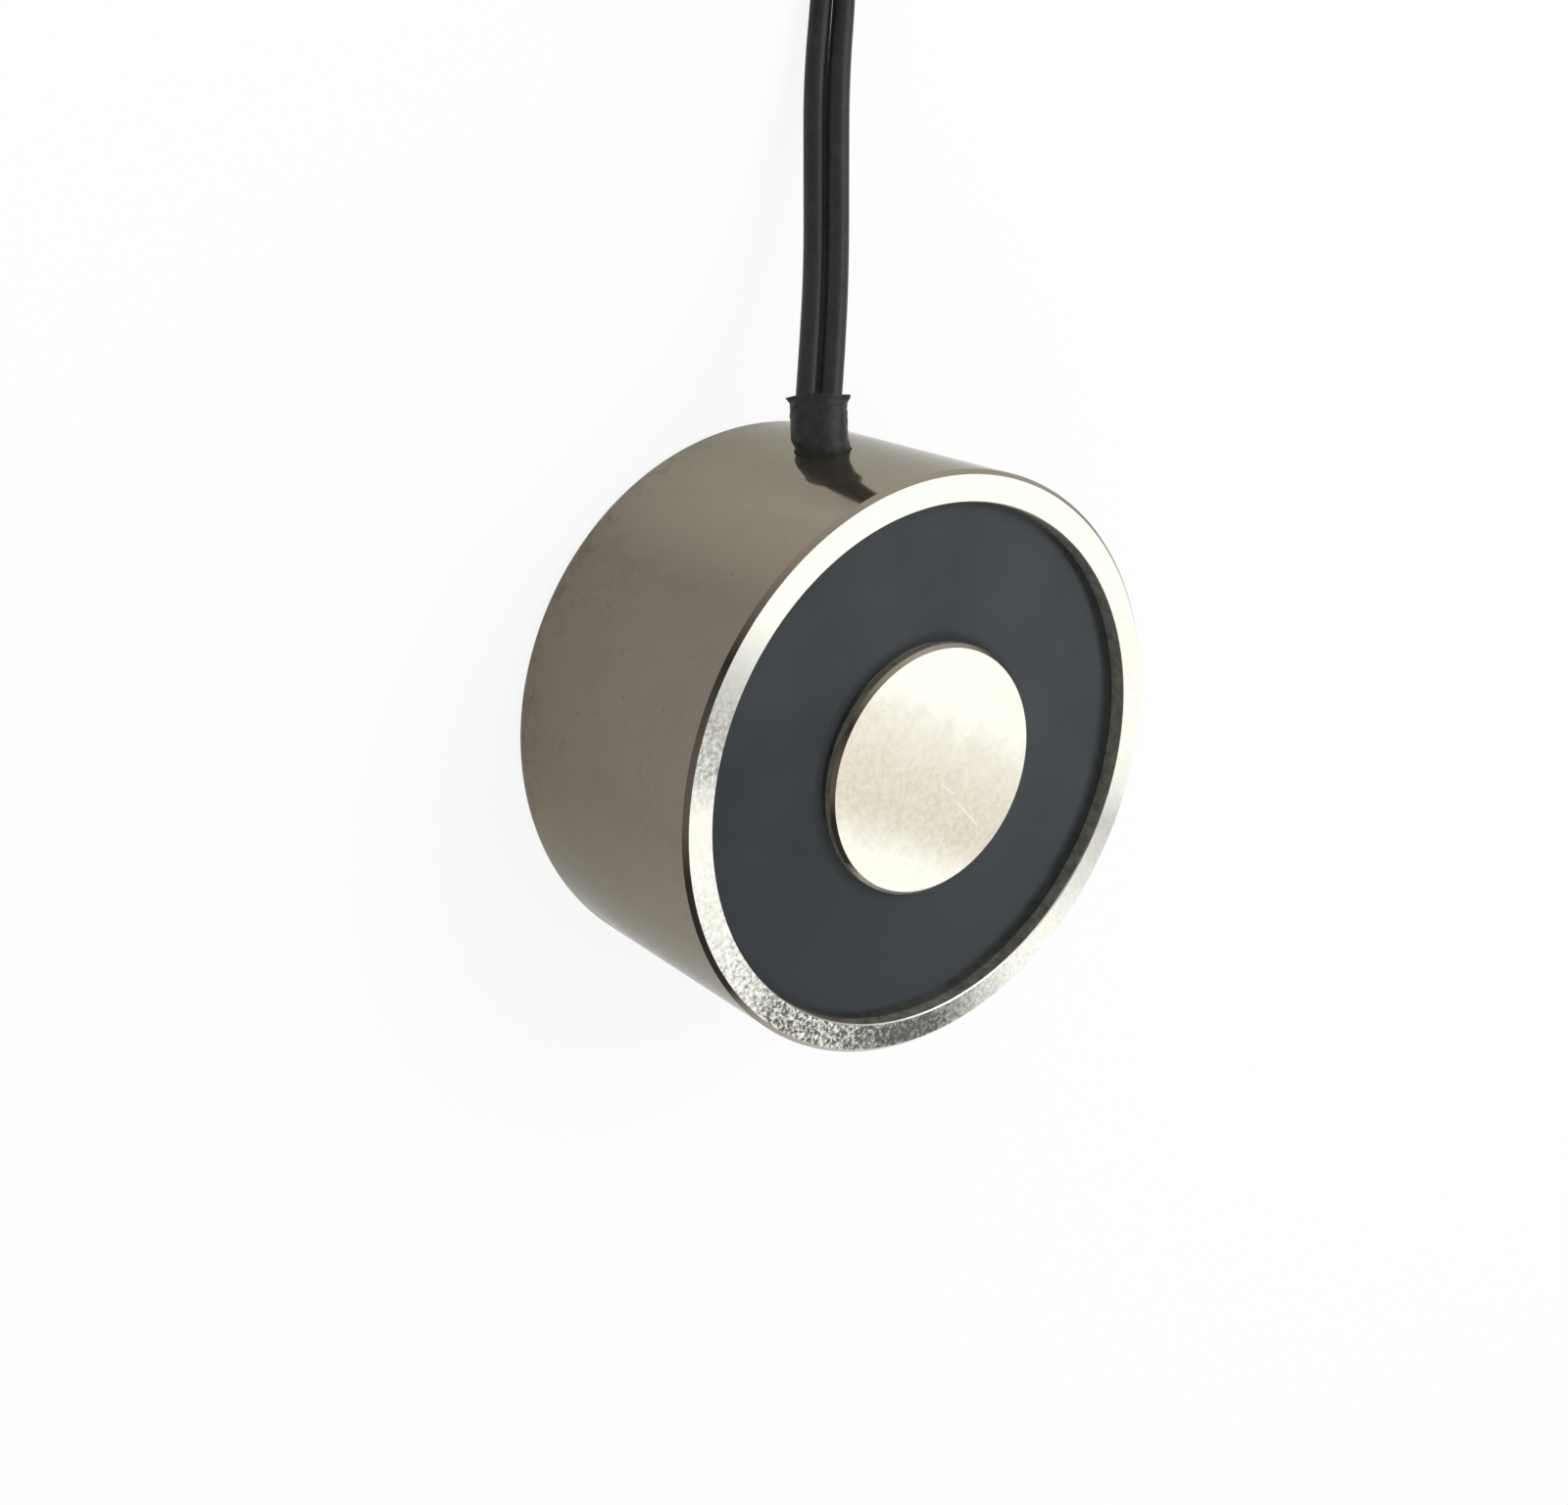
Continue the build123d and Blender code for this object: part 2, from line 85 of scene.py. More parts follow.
# Routes of the leads after their first run out of the sleeve, in millimetres
FIRST_RUN = 4.0
FIRST_DRIFT = 0.37
LEAD_ROUTES = {
    "a": [
        (-31.0, 3.96, 5.19),
        (-36.5, 5.87, 3.25),
        (-42.0, 7.44, 1.77),
        (-47.5, 9.08, 1.01),
        (-53.05, 10.04, 0.73),
    ],
    "b": [
        (-31.0, 4.96, 6.32),
        (-36.5, 6.93, 4.35),
        (-42.0, 8.59, 2.79),
        (-47.4, 10.34, 1.82),
        (-52.9, 11.43, 1.05),
    ],
}
TAIL_ROUTES = {
    "a": [
        (-62.8, 11.05, 5.05),
        (-66.2, 10.60, 4.40),
        (-69.6, 8.60, 1.70),
        (-72.6, 4.90, 0.74),
        (-74.0, 1.50, 0.73),
    ],
    "b": [
        (-62.6, 12.60, 4.40),
        (-66.0, 12.40, 2.10),
        (-69.3, 11.30, 0.80),
        (-72.5, 9.70, 0.73),
    ],
}

# Coil of the put-away length
COIL_CENTRE = Vector((-59.5, 3.7, 0))
COIL_MEAN_RADIUS = 7.7
COIL_PITCH = 1.44
COIL_ENTRY = radians(84)
COIL_TURNS = 3
COIL_LOWEST = 0.73
COIL_POINTS_PER_TURN = 20
LAYER_RISE_START = 0.8
TIE_ANGLE = radians(215)
TIE_THICKNESS = 0.45
TIE_HUMP_REACH = radians(34)
TIE_HUMP_STEEPNESS = 1.6


def linear(hex_colour):
    """The linear colour of an sRGB hex value."""
    channels = [int(hex_colour[i:i + 2], 16) / 255 for i in (1, 3, 5)]
    return tuple(c / 12.92 if c <= 0.04045 else ((c + 0.055) / 1.055) ** 2.4 for c in channels)


def smooth_step(share):
    """0 below 0, 1 above 1, and an even rise between."""
    share = min(max(share, 0.0), 1.0)
    return share * share * (3 - 2 * share)


def colour_setting(name, description, hex_colour):
    """A colour that a user can change."""
    return bpy.props.FloatVectorProperty(
        name=name,
        description=description,
        subtype="COLOR",
        size=3,
        min=0,
        max=1,
        default=linear(hex_colour),
    )


def length_setting(name, description, millimetres):
    """A length that a user can change."""
    return bpy.props.FloatProperty(
        name=name,
        description=description,
        subtype="DISTANCE",
        unit="LENGTH",
        min=0,
        default=millimetres * MM,
    )


class MagnetFinishSettings(bpy.types.PropertyGroup):
    """Colours of the magnet's metal, potting, sleeve and leads."""

    # Both plate colours are darker and warmer than bright nickel: painted reflection of dim surroundings, and
    # the shaded plate is darker still
    plate: colour_setting("Nickel plate", "Polished nickel plate on the side wall and back", "#9e9686")
    shaded: colour_setting("Shaded plate", "Plate on the side of the wall that was handled", "#7d7468")
    ground: colour_setting("Ground nickel", "Ground faces of rim and pole", "#fdfcf1")
    pole_dull: colour_setting("Dull band", "Worn band across the pole", "#d8ceb8")
    rim_dull: colour_setting("Coarse grinding", "Part of the rim where the grinding is coarse", "#5d5d5a")
    potting: colour_setting("Potting", "Cast epoxy between rim and pole", "#20282c")
    insulation: colour_setting("Lead insulation", "Extruded insulation of both leads", "#101314")
    sleeve: colour_setting("Heat-shrink sleeve", "Shrunk tube round both leads", "#111314")


class LeadSettings(bpy.types.PropertyGroup):
    """Sizes of the two leads."""

    diameter: length_setting("Lead diameter", "Diameter over the insulation", 1.4)
    length: length_setting("Lead length", "Length of each lead from the sleeve to its stripped end", 200)


class StageSettings(bpy.types.PropertyGroup):
    """Camera, floor and light."""

    lens: bpy.props.FloatProperty(
        name="Lens",
        description="Focal length on a 36 mm wide sensor",
        subtype="DISTANCE_CAMERA",
        min=10,
        default=43.929,
    )
    floor_size: length_setting("Floor size", "Length of the floor's sides", 6000)
    sky: bpy.props.FloatProperty(
        name="Sky strength",
        description="Strength of the even light from all round",
        min=0,
        default=0.8,
    )
    key: bpy.props.FloatProperty(
        name="Key lamp",
        description="Power of the large soft lamp, in watts",
        subtype="POWER",
        unit="POWER",
        min=0,
        default=1.6,
    )


def mixed(first, second, share):
    """A colour part of the way from one to another; a share below 0 lies before the first."""
    return tuple(a + share * (b - a) for a, b in zip(first, second))


def scaled(colour, factor):
    """A colour made darker by a factor."""
    return tuple(level * factor for level in colour)


def dusted(colour, amount):
    """A colour under a thin layer of pale dust."""
    return tuple(level + amount for level in colour)


def add_node(tree, kind, inputs=(), stops=(), **settings):
    """Adds a node. An input gets a value, an output, or a node for its first output; stops are a ramp's."""
    node = tree.nodes.new(kind)
    for name, value in settings.items():
        setattr(node, name, value)
    for socket, value in dict(inputs).items():
        if isinstance(value, bpy.types.Node):
            value = value.outputs[0]
        if isinstance(value, bpy.types.NodeSocket):
            tree.links.new(value, node.inputs[socket])
        else:
            node.inputs[socket].default_value = value
    while stops and len(node.color_ramp.elements) < len(stops):
        node.color_ramp.elements.new(1.0)
    for index, (position, value) in enumerate(stops):
        # A stop holds a colour, or a number for a plain level
        level = (value, value, value) if isinstance(value, (int, float)) else tuple(value)
        node.color_ramp.elements[index].position = position
        node.color_ramp.elements[index].color = (*level, 1)
    return node


def new_material(name):
    """An empty material, the call that adds a node to it, and the place on the object in millimetres."""
    material = bpy.data.materials.new(name)
    material.use_nodes = True
    material.node_tree.nodes.clear()
    node = partial(add_node, material.node_tree)
    coordinates = node("ShaderNodeTexCoord").outputs["Object"]
    place = node("ShaderNodeVectorMath", {"Vector": coordinates, "Scale": 1 / MM}, operation="SCALE")
    return material, node, place


def finish_material(material, node, colour, **inputs):
    """Ends a material in one principled shader; its viewport colour is the plain one."""
    named = {name.replace("_", " "): value for name, value in inputs.items()}
    shader = node("ShaderNodeBsdfPrincipled", named)
    node("ShaderNodeOutputMaterial", {"Surface": shader})
    material.diffuse_color = (*colour, 1)
    return material


def round_the_axis(node, place, values):
    """A colour or a number by the angle round the axis, from values that each have an angle in degrees."""
    around = node("ShaderNodeTexGradient", {"Vector": place}, gradient_type="RADIAL").outputs["Fac"]
    stops = [(angle / 360 + 0.5, value) for angle, value in values]
    return node("ShaderNodeValToRGB", {0: around}, stops=stops)


def drag_marks(node, place):
    """Fine wandering marks 0.1 mm wide, in patches: where a noise crosses its middle value."""
    wander = node("ShaderNodeTexNoise", {"Vector": place, "Scale": 1 / 1.7, "Detail": 2, "Distortion": 1.4})
    crossing = node("ShaderNodeMath", {0: wander, 1: 0.5}, operation="SUBTRACT")
    distance = node("ShaderNodeMath", {0: crossing}, operation="ABSOLUTE")
    patches = node("ShaderNodeTexNoise", {"Vector": place, "Scale": 1 / 4.5, "Detail": 1})
    clean = node("ShaderNodeValToRGB", {0: patches}, stops=((0.56, 0.02), (0.64, 0.0)))
    drag = node("ShaderNodeMath", {0: distance, 1: clean}, operation="ADD")
    return node("ShaderNodeValToRGB", {0: drag}, stops=((0.004, 0.82), (0.014, 1.0)))


def low_dark_patches(node, place, height):
    """Dark patches about a millimetre across, more of them and darker towards the bottom of the wall."""
    strongest = 0.22
    darkened_height = 5.0
    falling = {0: height, 1: -strongest / darkened_height, 2: strongest}
    low = node("ShaderNodeMath", falling, operation="MULTIPLY_ADD", use_clamp=True)
    patchy = node("ShaderNodeTexNoise", {"Vector": place, "Scale": 1 / 1.1, "Detail": 5, "Roughness": 0.7})
    darkening = node("ShaderNodeMath", {0: patchy, 1: low}, operation="ADD")
    return node("ShaderNodeValToRGB", {0: darkening}, stops=((0.64, 1.0), (0.84, 0.72)))


def polished_nickel_plate(finish):
    """Bright nickel over turned and polished steel: nearly a mirror, warm grey, clouded by fingerprints, with
    painted reflection round the wall.
    """
    material, node, place = new_material("polished_nickel_plate")

    # Share of the darker plate round the wall: painted reflection of the darker surroundings that the wall
    # mirrors on those sides. Below 0 is lighter
    painted_reflection_shares = (
        (-180, 0.0), (-164, 0.15), (-150, 0.60), (-138, 1.05), (-115, 1.0), (-95, 0.9), (-80, 0.5),
        (-66, 0.0), (-30, -0.6), (5, 0.1), (40, 0.8), (75, 0.2), (110, -0.6), (150, 0.0),
    )
    painted_reflection_tones = [(angle, mixed(finish.plate, finish.shaded, share)) for angle, share in painted_reflection_shares]
    tone = round_the_axis(node, place, painted_reflection_tones)

    # Fingerprints a few millimetres across
    prints = node("ShaderNodeTexNoise", {"Vector": place, "Scale": 1 / 3.2, "Detail": 5, "Roughness": 0.62})
    clouds = node("ShaderNodeValToRGB", {0: prints}, stops=((0.52, 1.0), (0.76, 0.92)))

    # Pits in the plate, about 0.3 mm
    pitting = node("ShaderNodeTexNoise", {"Vector": place, "Scale": 1 / 0.6, "Detail": 1})
    pits = node("ShaderNodeValToRGB", {0: pitting}, stops=((0.75, 1.0), (0.79, 0.7)))

    height = node("ShaderNodeSeparateXYZ", {0: place}).outputs["Z"]
    for layer in (clouds, drag_marks(node, place), pits, low_dark_patches(node, place, height)):
        tone = node("ShaderNodeVectorMath", {0: tone, 1: layer}, operation="MULTIPLY")

    # Turning marks run round the axis, so they vary with height alone: 0.35 mm, coarser than the real feed
    feed = node("ShaderNodeTexNoise", {"W": height, "Scale": 1 / 0.35, "Detail": 3}, noise_dimensions="1D")
    relief = node("ShaderNodeBump", {"Height": feed, "Strength": 0.04, "Distance": 0.02 * MM})
    haze = node("ShaderNodeValToRGB", {0: prints}, stops=((0.35, 0.07), (0.75, 0.15)))
    # Nickel stays grey where it is seen at a low angle, and a film of finger grease scatters a little light
    return finish_material(
        material, node, finish.plate, Base_Color=tone, Metallic=0.93, Roughness=haze, Normal=relief,
        Specular_Tint=(0.64, 0.64, 0.62, 1),
    )


def smeared_plate(finish):
    """Plate beside the potting, smeared with epoxy as it was poured: a dull, blotched grey."""
    material, node, place = new_material("epoxy_smeared_plate")
    smears = node("ShaderNodeTexNoise", {"Vector": place, "Scale": 1 / 0.9, "Detail": 5, "Roughness": 0.75})
    bright = mixed(finish.plate, finish.ground, 0.5)
    stops = ((0.32, scaled(bright, 0.4)), (0.62, scaled(bright, 0.85)))
    tone = node("ShaderNodeValToRGB", {0: smears}, stops=stops)
    relief = node("ShaderNodeBump", {"Height": smears, "Strength": 0.3, "Distance": 0.05 * MM})
    return finish_material(
        material, node, finish.plate, Base_Color=tone, Metallic=1.0, Roughness=0.5, Normal=relief
    )


def broken_edge(finish):
    """Broken edges of rim and pole: plate over a turned bevel, darker in places round the axis by painted
    reflection.
    """
    material, node, place = new_material("plated_edge")
    bright = mixed(finish.plate, finish.ground, 0.5)
    painted_dark_reflection = scaled(finish.shaded, 0.13)
    painted_dim_reflection = scaled(finish.shaded, 0.45)
    dim = scaled(finish.plate, 0.8)
    # Painted reflection: the bevel's tone round the axis stands in for the dark and bright surroundings that
    # it mirrors
    painted_reflection_tones = (
        (-180, dim), (-150, finish.shaded), (-128, painted_dark_reflection), (-110, painted_dim_reflection), (-98, painted_dim_reflection),
        (-88, painted_dark_reflection), (-62, painted_dark_reflection), (-50, finish.plate), (0, bright), (30, bright),
        (55, painted_dim_reflection), (130, painted_dim_reflection), (150, dim),
    )
    tone = round_the_axis(node, place, painted_reflection_tones)
    grain = node("ShaderNodeTexNoise", {"Vector": place, "Scale": 1 / 0.3, "Detail": 3})
    relief = node("ShaderNodeBump", {"Height": grain, "Strength": 0.3, "Distance": 0.03 * MM})
    return finish_material(
        material, node, finish.shaded, Base_Color=tone, Metallic=1.0, Roughness=0.3, Normal=relief
    )


def rim_wear(node, place):
    """How dull the ground rim is: bright round most of it, with a coarse, speckled quarter."""
    # Besides the coarse quarter, a smaller patch near -120 degrees is duller and speckled too
    dullness = (
        (-138, 0.0), (-126, 0.40), (-116, 0.54), (-108, 0.44), (-100, 0.03), (-84, 0.03), (-68, 0.16),
        (-60, 0.26), (-52, 0.48), (-44, 0.70), (-36, 0.60), (-28, 0.78), (-16, 0.96), (-4, 0.97),
        (4, 0.70), (12, 0.38), (20, 0.09), (28, 0.0), (36, 0.04), (44, 0.20), (52, 0.32), (60, 0.44),
        (68, 0.12), (76, 0.0),
    )
    speckling = (
        (-128, 0.0), (-116, 0.16), (-108, 0.26), (-98, 0.0), (-76, 0.22), (-58, 0.48), (-36, 0.85),
        (-24, 0.60), (-16, 0.30), (-4, 0.20), (20, 0.15), (44, 0.05),
    )
    mean = round_the_axis(node, place, dullness)
    depth = round_the_axis(node, place, speckling)
    # Torn grains of 0.2 mm and up, coarser than a real wheel's grit, which would be too fine to show
    grains = node("ShaderNodeTexNoise", {"Vector": place, "Scale": 1 / 0.34, "Detail": 3, "Roughness": 0.8})
    centred = node("ShaderNodeMath", {0: grains, 1: 8.0, 2: -4.0}, operation="MULTIPLY_ADD")
    return node("ShaderNodeMath", {0: centred, 1: depth, 2: mean}, operation="MULTIPLY_ADD", use_clamp=True)


def scratch(node, place, start, end):
    """A fine bright scratch in the pole's face: less than 1 within 0.1 mm of it, and 1 elsewhere."""
    first = Vector((*start, MAGNET_HEIGHT))
    way = Vector((*end, MAGNET_HEIGHT)) - first
    along = way / way.length_squared
    side = Vector((-way.y, way.x, 0)).normalized()
    offset = node("ShaderNodeVectorMath", {0: place, 1: first}, operation="SUBTRACT")
    share = node("ShaderNodeVectorMath", {0: offset, 1: along}, operation="DOT_PRODUCT").outputs["Value"]
    apart = node("ShaderNodeVectorMath", {0: offset, 1: side}, operation="DOT_PRODUCT").outputs["Value"]
    beside = node("ShaderNodeMath", {0: apart}, operation="ABSOLUTE")
    outside = node("ShaderNodeValToRGB", {0: beside}, stops=((0.02, 0.35), (0.09, 1.0)))
    past = node("ShaderNodeValToRGB", {0: share}, stops=((0.0, 1.0), (0.3, 0.0), (0.7, 0.0), (1.0, 1.0)))
    return node("ShaderNodeMath", {0: outside, 1: past}, operation="MAXIMUM")


def pole_wear(node, place):
    """How dull the ground pole is: a warm band across it, worn in by the parts that it held."""
    # The way across the band, along which the stops below are shares of 20 mm
    across = Vector((0.842, -0.540, 0)) / 20.0
    along = node("ShaderNodeVectorMath", {0: place, 1: across}, operation="DOT_PRODUCT").outputs["Value"]
    drift = node("ShaderNodeTexNoise", {"Vector": place, "Scale": 1 / 1.6, "Detail": 8, "Roughness": 0.8})
    uneven = node("ShaderNodeMath", {0: drift, 1: 0.3, 2: 0.35}, operation="MULTIPLY_ADD")
    reach = node("ShaderNodeMath", {0: along, 1: uneven}, operation="ADD")
    stops = ((0.29, 0.0), (0.38, 0.45), (0.52, 0.80), (0.68, 0.92), (0.74, 0.60), (0.82, 0.0))
    band = node("ShaderNodeValToRGB", {0: reach}, stops=stops)
    grains = node("ShaderNodeTexNoise", {"Vector": place, "Scale": 1 / 0.5, "Detail": 5, "Roughness": 0.85})
    mottle = node("ShaderNodeValToRGB", {0: grains}, stops=((0.38, 0.62), (0.62, 1.10)))
    wear = node("ShaderNodeMath", {0: band, 1: mottle}, operation="MULTIPLY")
    for start, end in (((2.62, 1.71), (5.32, 3.78)), ((1.07, 0.54), (2.36, 1.81))):
        left = scratch(node, place, start, end)
        wear = node("ShaderNodeMath", {0: wear, 1: left}, operation="MULTIPLY")
    return wear


def ground_nickel(name, ground, dull, find_wear):
    """Surface-ground nickel: satin and near white, with fine crossing scratches and dull, coarser places."""
    material, node, place = new_material(name)
    wear = find_wear(node, place)
    tone = node("ShaderNodeValToRGB", {0: wear}, stops=((0.0, ground), (1.0, dull)))
    clouds = node("ShaderNodeTexNoise", {"Vector": place, "Scale": 1 / 1.4, "Detail": 6, "Roughness": 0.65})
    veil = node("ShaderNodeValToRGB", {0: clouds}, stops=((0.45, 1.0), (0.75, 0.95)))
    tone = node("ShaderNodeVectorMath", {0: tone, 1: veil}, operation="MULTIPLY")
    grain = node("ShaderNodeTexNoise", {"Vector": place, "Scale": 1 / 0.15, "Detail": 3})
    relief = node("ShaderNodeBump", {"Height": grain, "Strength": 0.12, "Distance": 0.02 * MM})
    return finish_material(
        material, node, ground, Base_Color=tone, Metallic=1.0, Roughness=0.34, Normal=relief
    )


def cast_potting_epoxy(finish):
    """Filled black epoxy, cast and cured in place: slate grey, glossy enough to mirror the walls."""
    material, node, place = new_material("cast_potting_epoxy")
    # The epoxy is a little paler towards the leads' side
    toward = (-0.5 / CUP_RADIUS, 0.2 / CUP_RADIUS, 0)
    side = node("ShaderNodeVectorMath", {0: place, 1: toward}, operation="DOT_PRODUCT").outputs["Value"]
    drift = node("ShaderNodeTexNoise", {"Vector": place, "Scale": 1 / 6.0, "Detail": 4})
    paler_side_drift = node("ShaderNodeMath", {0: side, 1: drift}, operation="ADD")
    stops = ((0.30, finish.potting), (0.95, dusted(finish.potting, 0.018)))
    tone = node("ShaderNodeValToRGB", {0: paler_side_drift}, stops=stops)
    # Painted shade: the epoxy is darkened next to both walls, nearly to black beside the pole, in a band that
    # is widest towards -125 degrees round the axis
    painted_shade_side = radians(-125)
    shift = Vector((cos(painted_shade_side), sin(painted_shade_side), 0)) * 0.35
    moved = node("ShaderNodeVectorMath", {0: place, 1: shift}, operation="SUBTRACT")
    flat = node("ShaderNodeVectorMath", {0: moved, 1: (1, 1, 0)}, operation="MULTIPLY")
    radius = node("ShaderNodeVectorMath", {0: flat}, operation="LENGTH").outputs["Value"]
    reach = node("ShaderNodeMath", {0: radius, 1: CUP_INNER_RADIUS}, operation="DIVIDE")
    painted_shade_bands = (
        (POLE_RADIUS - 0.35, 0.1), (POLE_RADIUS + 0.1, 0.2), (POLE_RADIUS + 0.7, 1.0),
        (CUP_INNER_RADIUS - 0.65, 1.0), (CUP_INNER_RADIUS - 0.3, 0.4), (CUP_INNER_RADIUS, 0.4),
    )
    painted_shade_stops = [(edge / CUP_INNER_RADIUS, level) for edge, level in painted_shade_bands]
    painted_shade = node("ShaderNodeValToRGB", {0: reach}, stops=painted_shade_stops)
    tone = node("ShaderNodeVectorMath", {0: tone, 1: painted_shade}, operation="MULTIPLY")
    swell = node("ShaderNodeTexNoise", {"Vector": place, "Scale": 1 / 2.5, "Detail": 3})
    relief = node("ShaderNodeBump", {"Height": swell, "Strength": 0.05, "Distance": 0.1 * MM})
    return finish_material(
        material, node, finish.potting, Base_Color=tone, Roughness=0.16, Specular_IOR_Level=0.3, Normal=relief
    )


def extruded_insulation(finish):
    """Black soft PVC, extruded: satin, a little dusty, with a fine unevenness."""
    material, node, place = new_material("extruded_pvc_insulation")
    dust = node("ShaderNodeTexNoise", {"Vector": place, "Scale": 1 / 0.8, "Detail": 5, "Roughness": 0.7})
    stops = ((0.45, finish.insulation), (0.8, dusted(finish.insulation, 0.012)))
    tone = node("ShaderNodeValToRGB", {0: dust}, stops=stops)
    # Painted light: pale colour is added in the grooves between neighbouring leads, where ambient occlusion
    # finds little light, lifting their shade
    opened = node("ShaderNodeAmbientOcclusion", {"Distance": 1.0 * MM}, samples=16).outputs["AO"]
    painted_groove_light = node("ShaderNodeValToRGB", {0: opened}, stops=((0.1, (0.1, 0.1, 0.098)), (0.6, (0, 0, 0))))
    tone = node("ShaderNodeVectorMath", {0: tone, 1: painted_groove_light}, operation="ADD")
    lumps = node("ShaderNodeTexNoise", {"Vector": place, "Scale": 1 / 0.5, "Detail": 3})
    relief = node("ShaderNodeBump", {"Height": lumps, "Strength": 0.12, "Distance": 0.05 * MM})
    return finish_material(
        material, node, finish.insulation, Base_Color=tone, Roughness=0.42, Specular_IOR_Level=0.28,
        Normal=relief,
    )


def shrunk_polyolefin(finish):
    """Heat-shrink tube: black polyolefin, satin, finely wrinkled where it shrank, and scuffed."""
    material, node, place = new_material("shrunk_polyolefin")
    scuffs = node("ShaderNodeTexNoise", {"Vector": place, "Scale": 1 / 0.6, "Detail": 5, "Roughness": 0.7})
    stops = ((0.45, finish.sleeve), (0.75, dusted(finish.sleeve, 0.014)))
    tone = node("ShaderNodeValToRGB", {0: scuffs}, stops=stops)
    wrinkles = node("ShaderNodeTexNoise", {"Vector": place, "Scale": 1 / 0.55, "Detail": 4})
    relief = node("ShaderNodeBump", {"Height": wrinkles, "Strength": 0.4, "Distance": 0.12 * MM})
    return finish_material(
        material, node, finish.sleeve, Base_Color=tone, Roughness=0.42, Specular_IOR_Level=0.25, Normal=relief
    )


def enamelled_copper():
    """Enamelled winding wire of 0.35 mm, laid turn beside turn: a warm lacquered gloss in fine rings."""
    material, node, place = new_material("enamelled_copper_wire")
    colour = linear("#b5622f")
    height = node("ShaderNodeSeparateXYZ", {0: place}).outputs["Z"]
    phase = node("ShaderNodeMath", {0: height, 1: 2 * pi / 0.35}, operation="MULTIPLY")
    wave = node("ShaderNodeMath", {0: phase}, operation="SINE")
    turns = node("ShaderNodeMath", {0: wave, 1: 0.5, 2: 0.5}, operation="MULTIPLY_ADD")
    # The rings mark the turns; their dark parts between the turns are painted shade
    tone = node("ShaderNodeValToRGB", {0: turns}, stops=((0.0, scaled(colour, 0.45)), (0.6, colour)))
    relief = node("ShaderNodeBump", {"Height": turns, "Strength": 0.8, "Distance": 0.1 * MM})
    return finish_material(
        material, node, colour, Base_Color=tone, Metallic=1.0, Roughness=0.3, Normal=relief
    )


def uneven_finish(name, hex_colour, lump, depth, **inputs):
    """A surface with a fine unevenness: lump is its size and depth its height, in millimetres."""
    material, node, place = new_material(name)
    colour = linear(hex_colour)
    lumps = node("ShaderNodeTexNoise", {"Vector": place, "Scale": 1 / lump, "Detail": 4})
    tone = node("ShaderNodeValToRGB", {0: lumps}, stops=((0.35, scaled(colour, 0.85)), (0.65, colour)))
    relief = node("ShaderNodeBump", {"Height": lumps, "Strength": 0.3, "Distance": depth * MM})
    return finish_material(material, node, colour, Base_Color=tone, Normal=relief, **inputs)


def mesh_piece(name, mesh_data, materials, slot, *nodes):
    """An object of a bmesh that rides on the magnet, in place of the CAD nodes named."""
    mesh = bpy.data.meshes.new(name)
    mesh_data.to_mesh(mesh)
    mesh_data.free()
    piece = bpy.data.objects.new(name, mesh)
    bpy.context.scene.collection.objects.link(piece)
    for material in materials:
        mesh.materials.append(material)
    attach(piece, BODY)
    if nodes:
        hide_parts(*nodes)
    return piece


def sharpen(mesh_data, angle):
    """Smooth faces, with edges sharper than the angle kept crisp."""
    bmesh.ops.recalc_face_normals(mesh_data, faces=mesh_data.faces)
    for face in mesh_data.faces:
        face.smooth = True
    for edge in mesh_data.edges:
        edge.smooth = len(edge.link_faces) == 2 and edge.calc_face_angle(0.0) < angle


def skin(mesh_data, rings):
    """Faces between neighbouring rings of points."""
    for low, high in zip(rings, rings[1:]):
        for i in range(len(low)):
            j = (i + 1) % len(low)
            mesh_data.faces.new((low[i], low[j], high[j], high[i]))


def dress_node(name, material):
    """Gives a CAD node its finish."""
    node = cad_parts[name]
    node.data.materials.clear()
    node.data.materials.append(material)
    for polygon in node.data.polygons:
        polygon.use_smooth = True
    node.data.set_sharp_from_angle(angle=radians(30))
    return node


def lead_offset():
    """Millimetres from the middle of the pair to that of each lead, whose soft skins press together."""
    return bpy.context.scene.magnet_leads.diameter / MM / 2 * SEEN_SWELL - PAIR_PRESS


def coil_points(radius):
    """Control points of three neat turns, side by side with the other lead, one layer on the next."""
    # A quadratic spline runs inside its control points, so they stand out by the cosine of half a step
    reach = radius / cos(pi / COIL_POINTS_PER_TURN)
    points = []
    for step in range(COIL_TURNS * COIL_POINTS_PER_TURN + 1):
        turns = step / COIL_POINTS_PER_TURN
        angle = COIL_ENTRY + 2 * pi * turns
        layer = int(turns)
        rise = smooth_step((turns - layer - LAYER_RISE_START) / (1 - LAYER_RISE_START))
        from_tie = abs((angle - TIE_ANGLE + pi) % (2 * pi) - pi)
        hump = TIE_THICKNESS * smooth_step(TIE_HUMP_STEEPNESS * (1 - from_tie / TIE_HUMP_REACH))
        height = COIL_LOWEST + (layer + rise) * COIL_PITCH + hump
        points.append(COIL_CENTRE + Vector((reach * cos(angle), reach * sin(angle), height)))
    return points


def lead_points(letter):
    """Control points of one whole lead, in millimetres."""
    side = LEAD_SIDES[letter]
    start = lead_start + pair_side * (lead_offset() * side - SLEEVE_SAG)
    first_point = start + lean_direction * FIRST_RUN + pair_side * FIRST_DRIFT
    route = [Vector(point) for point in LEAD_ROUTES[letter]]
    coil = coil_points(COIL_MEAN_RADIUS + side * COIL_PITCH / 2)
    tail = [Vector(point) for point in TAIL_ROUTES[letter]]
    return [start, first_point, *route, *coil, *tail]


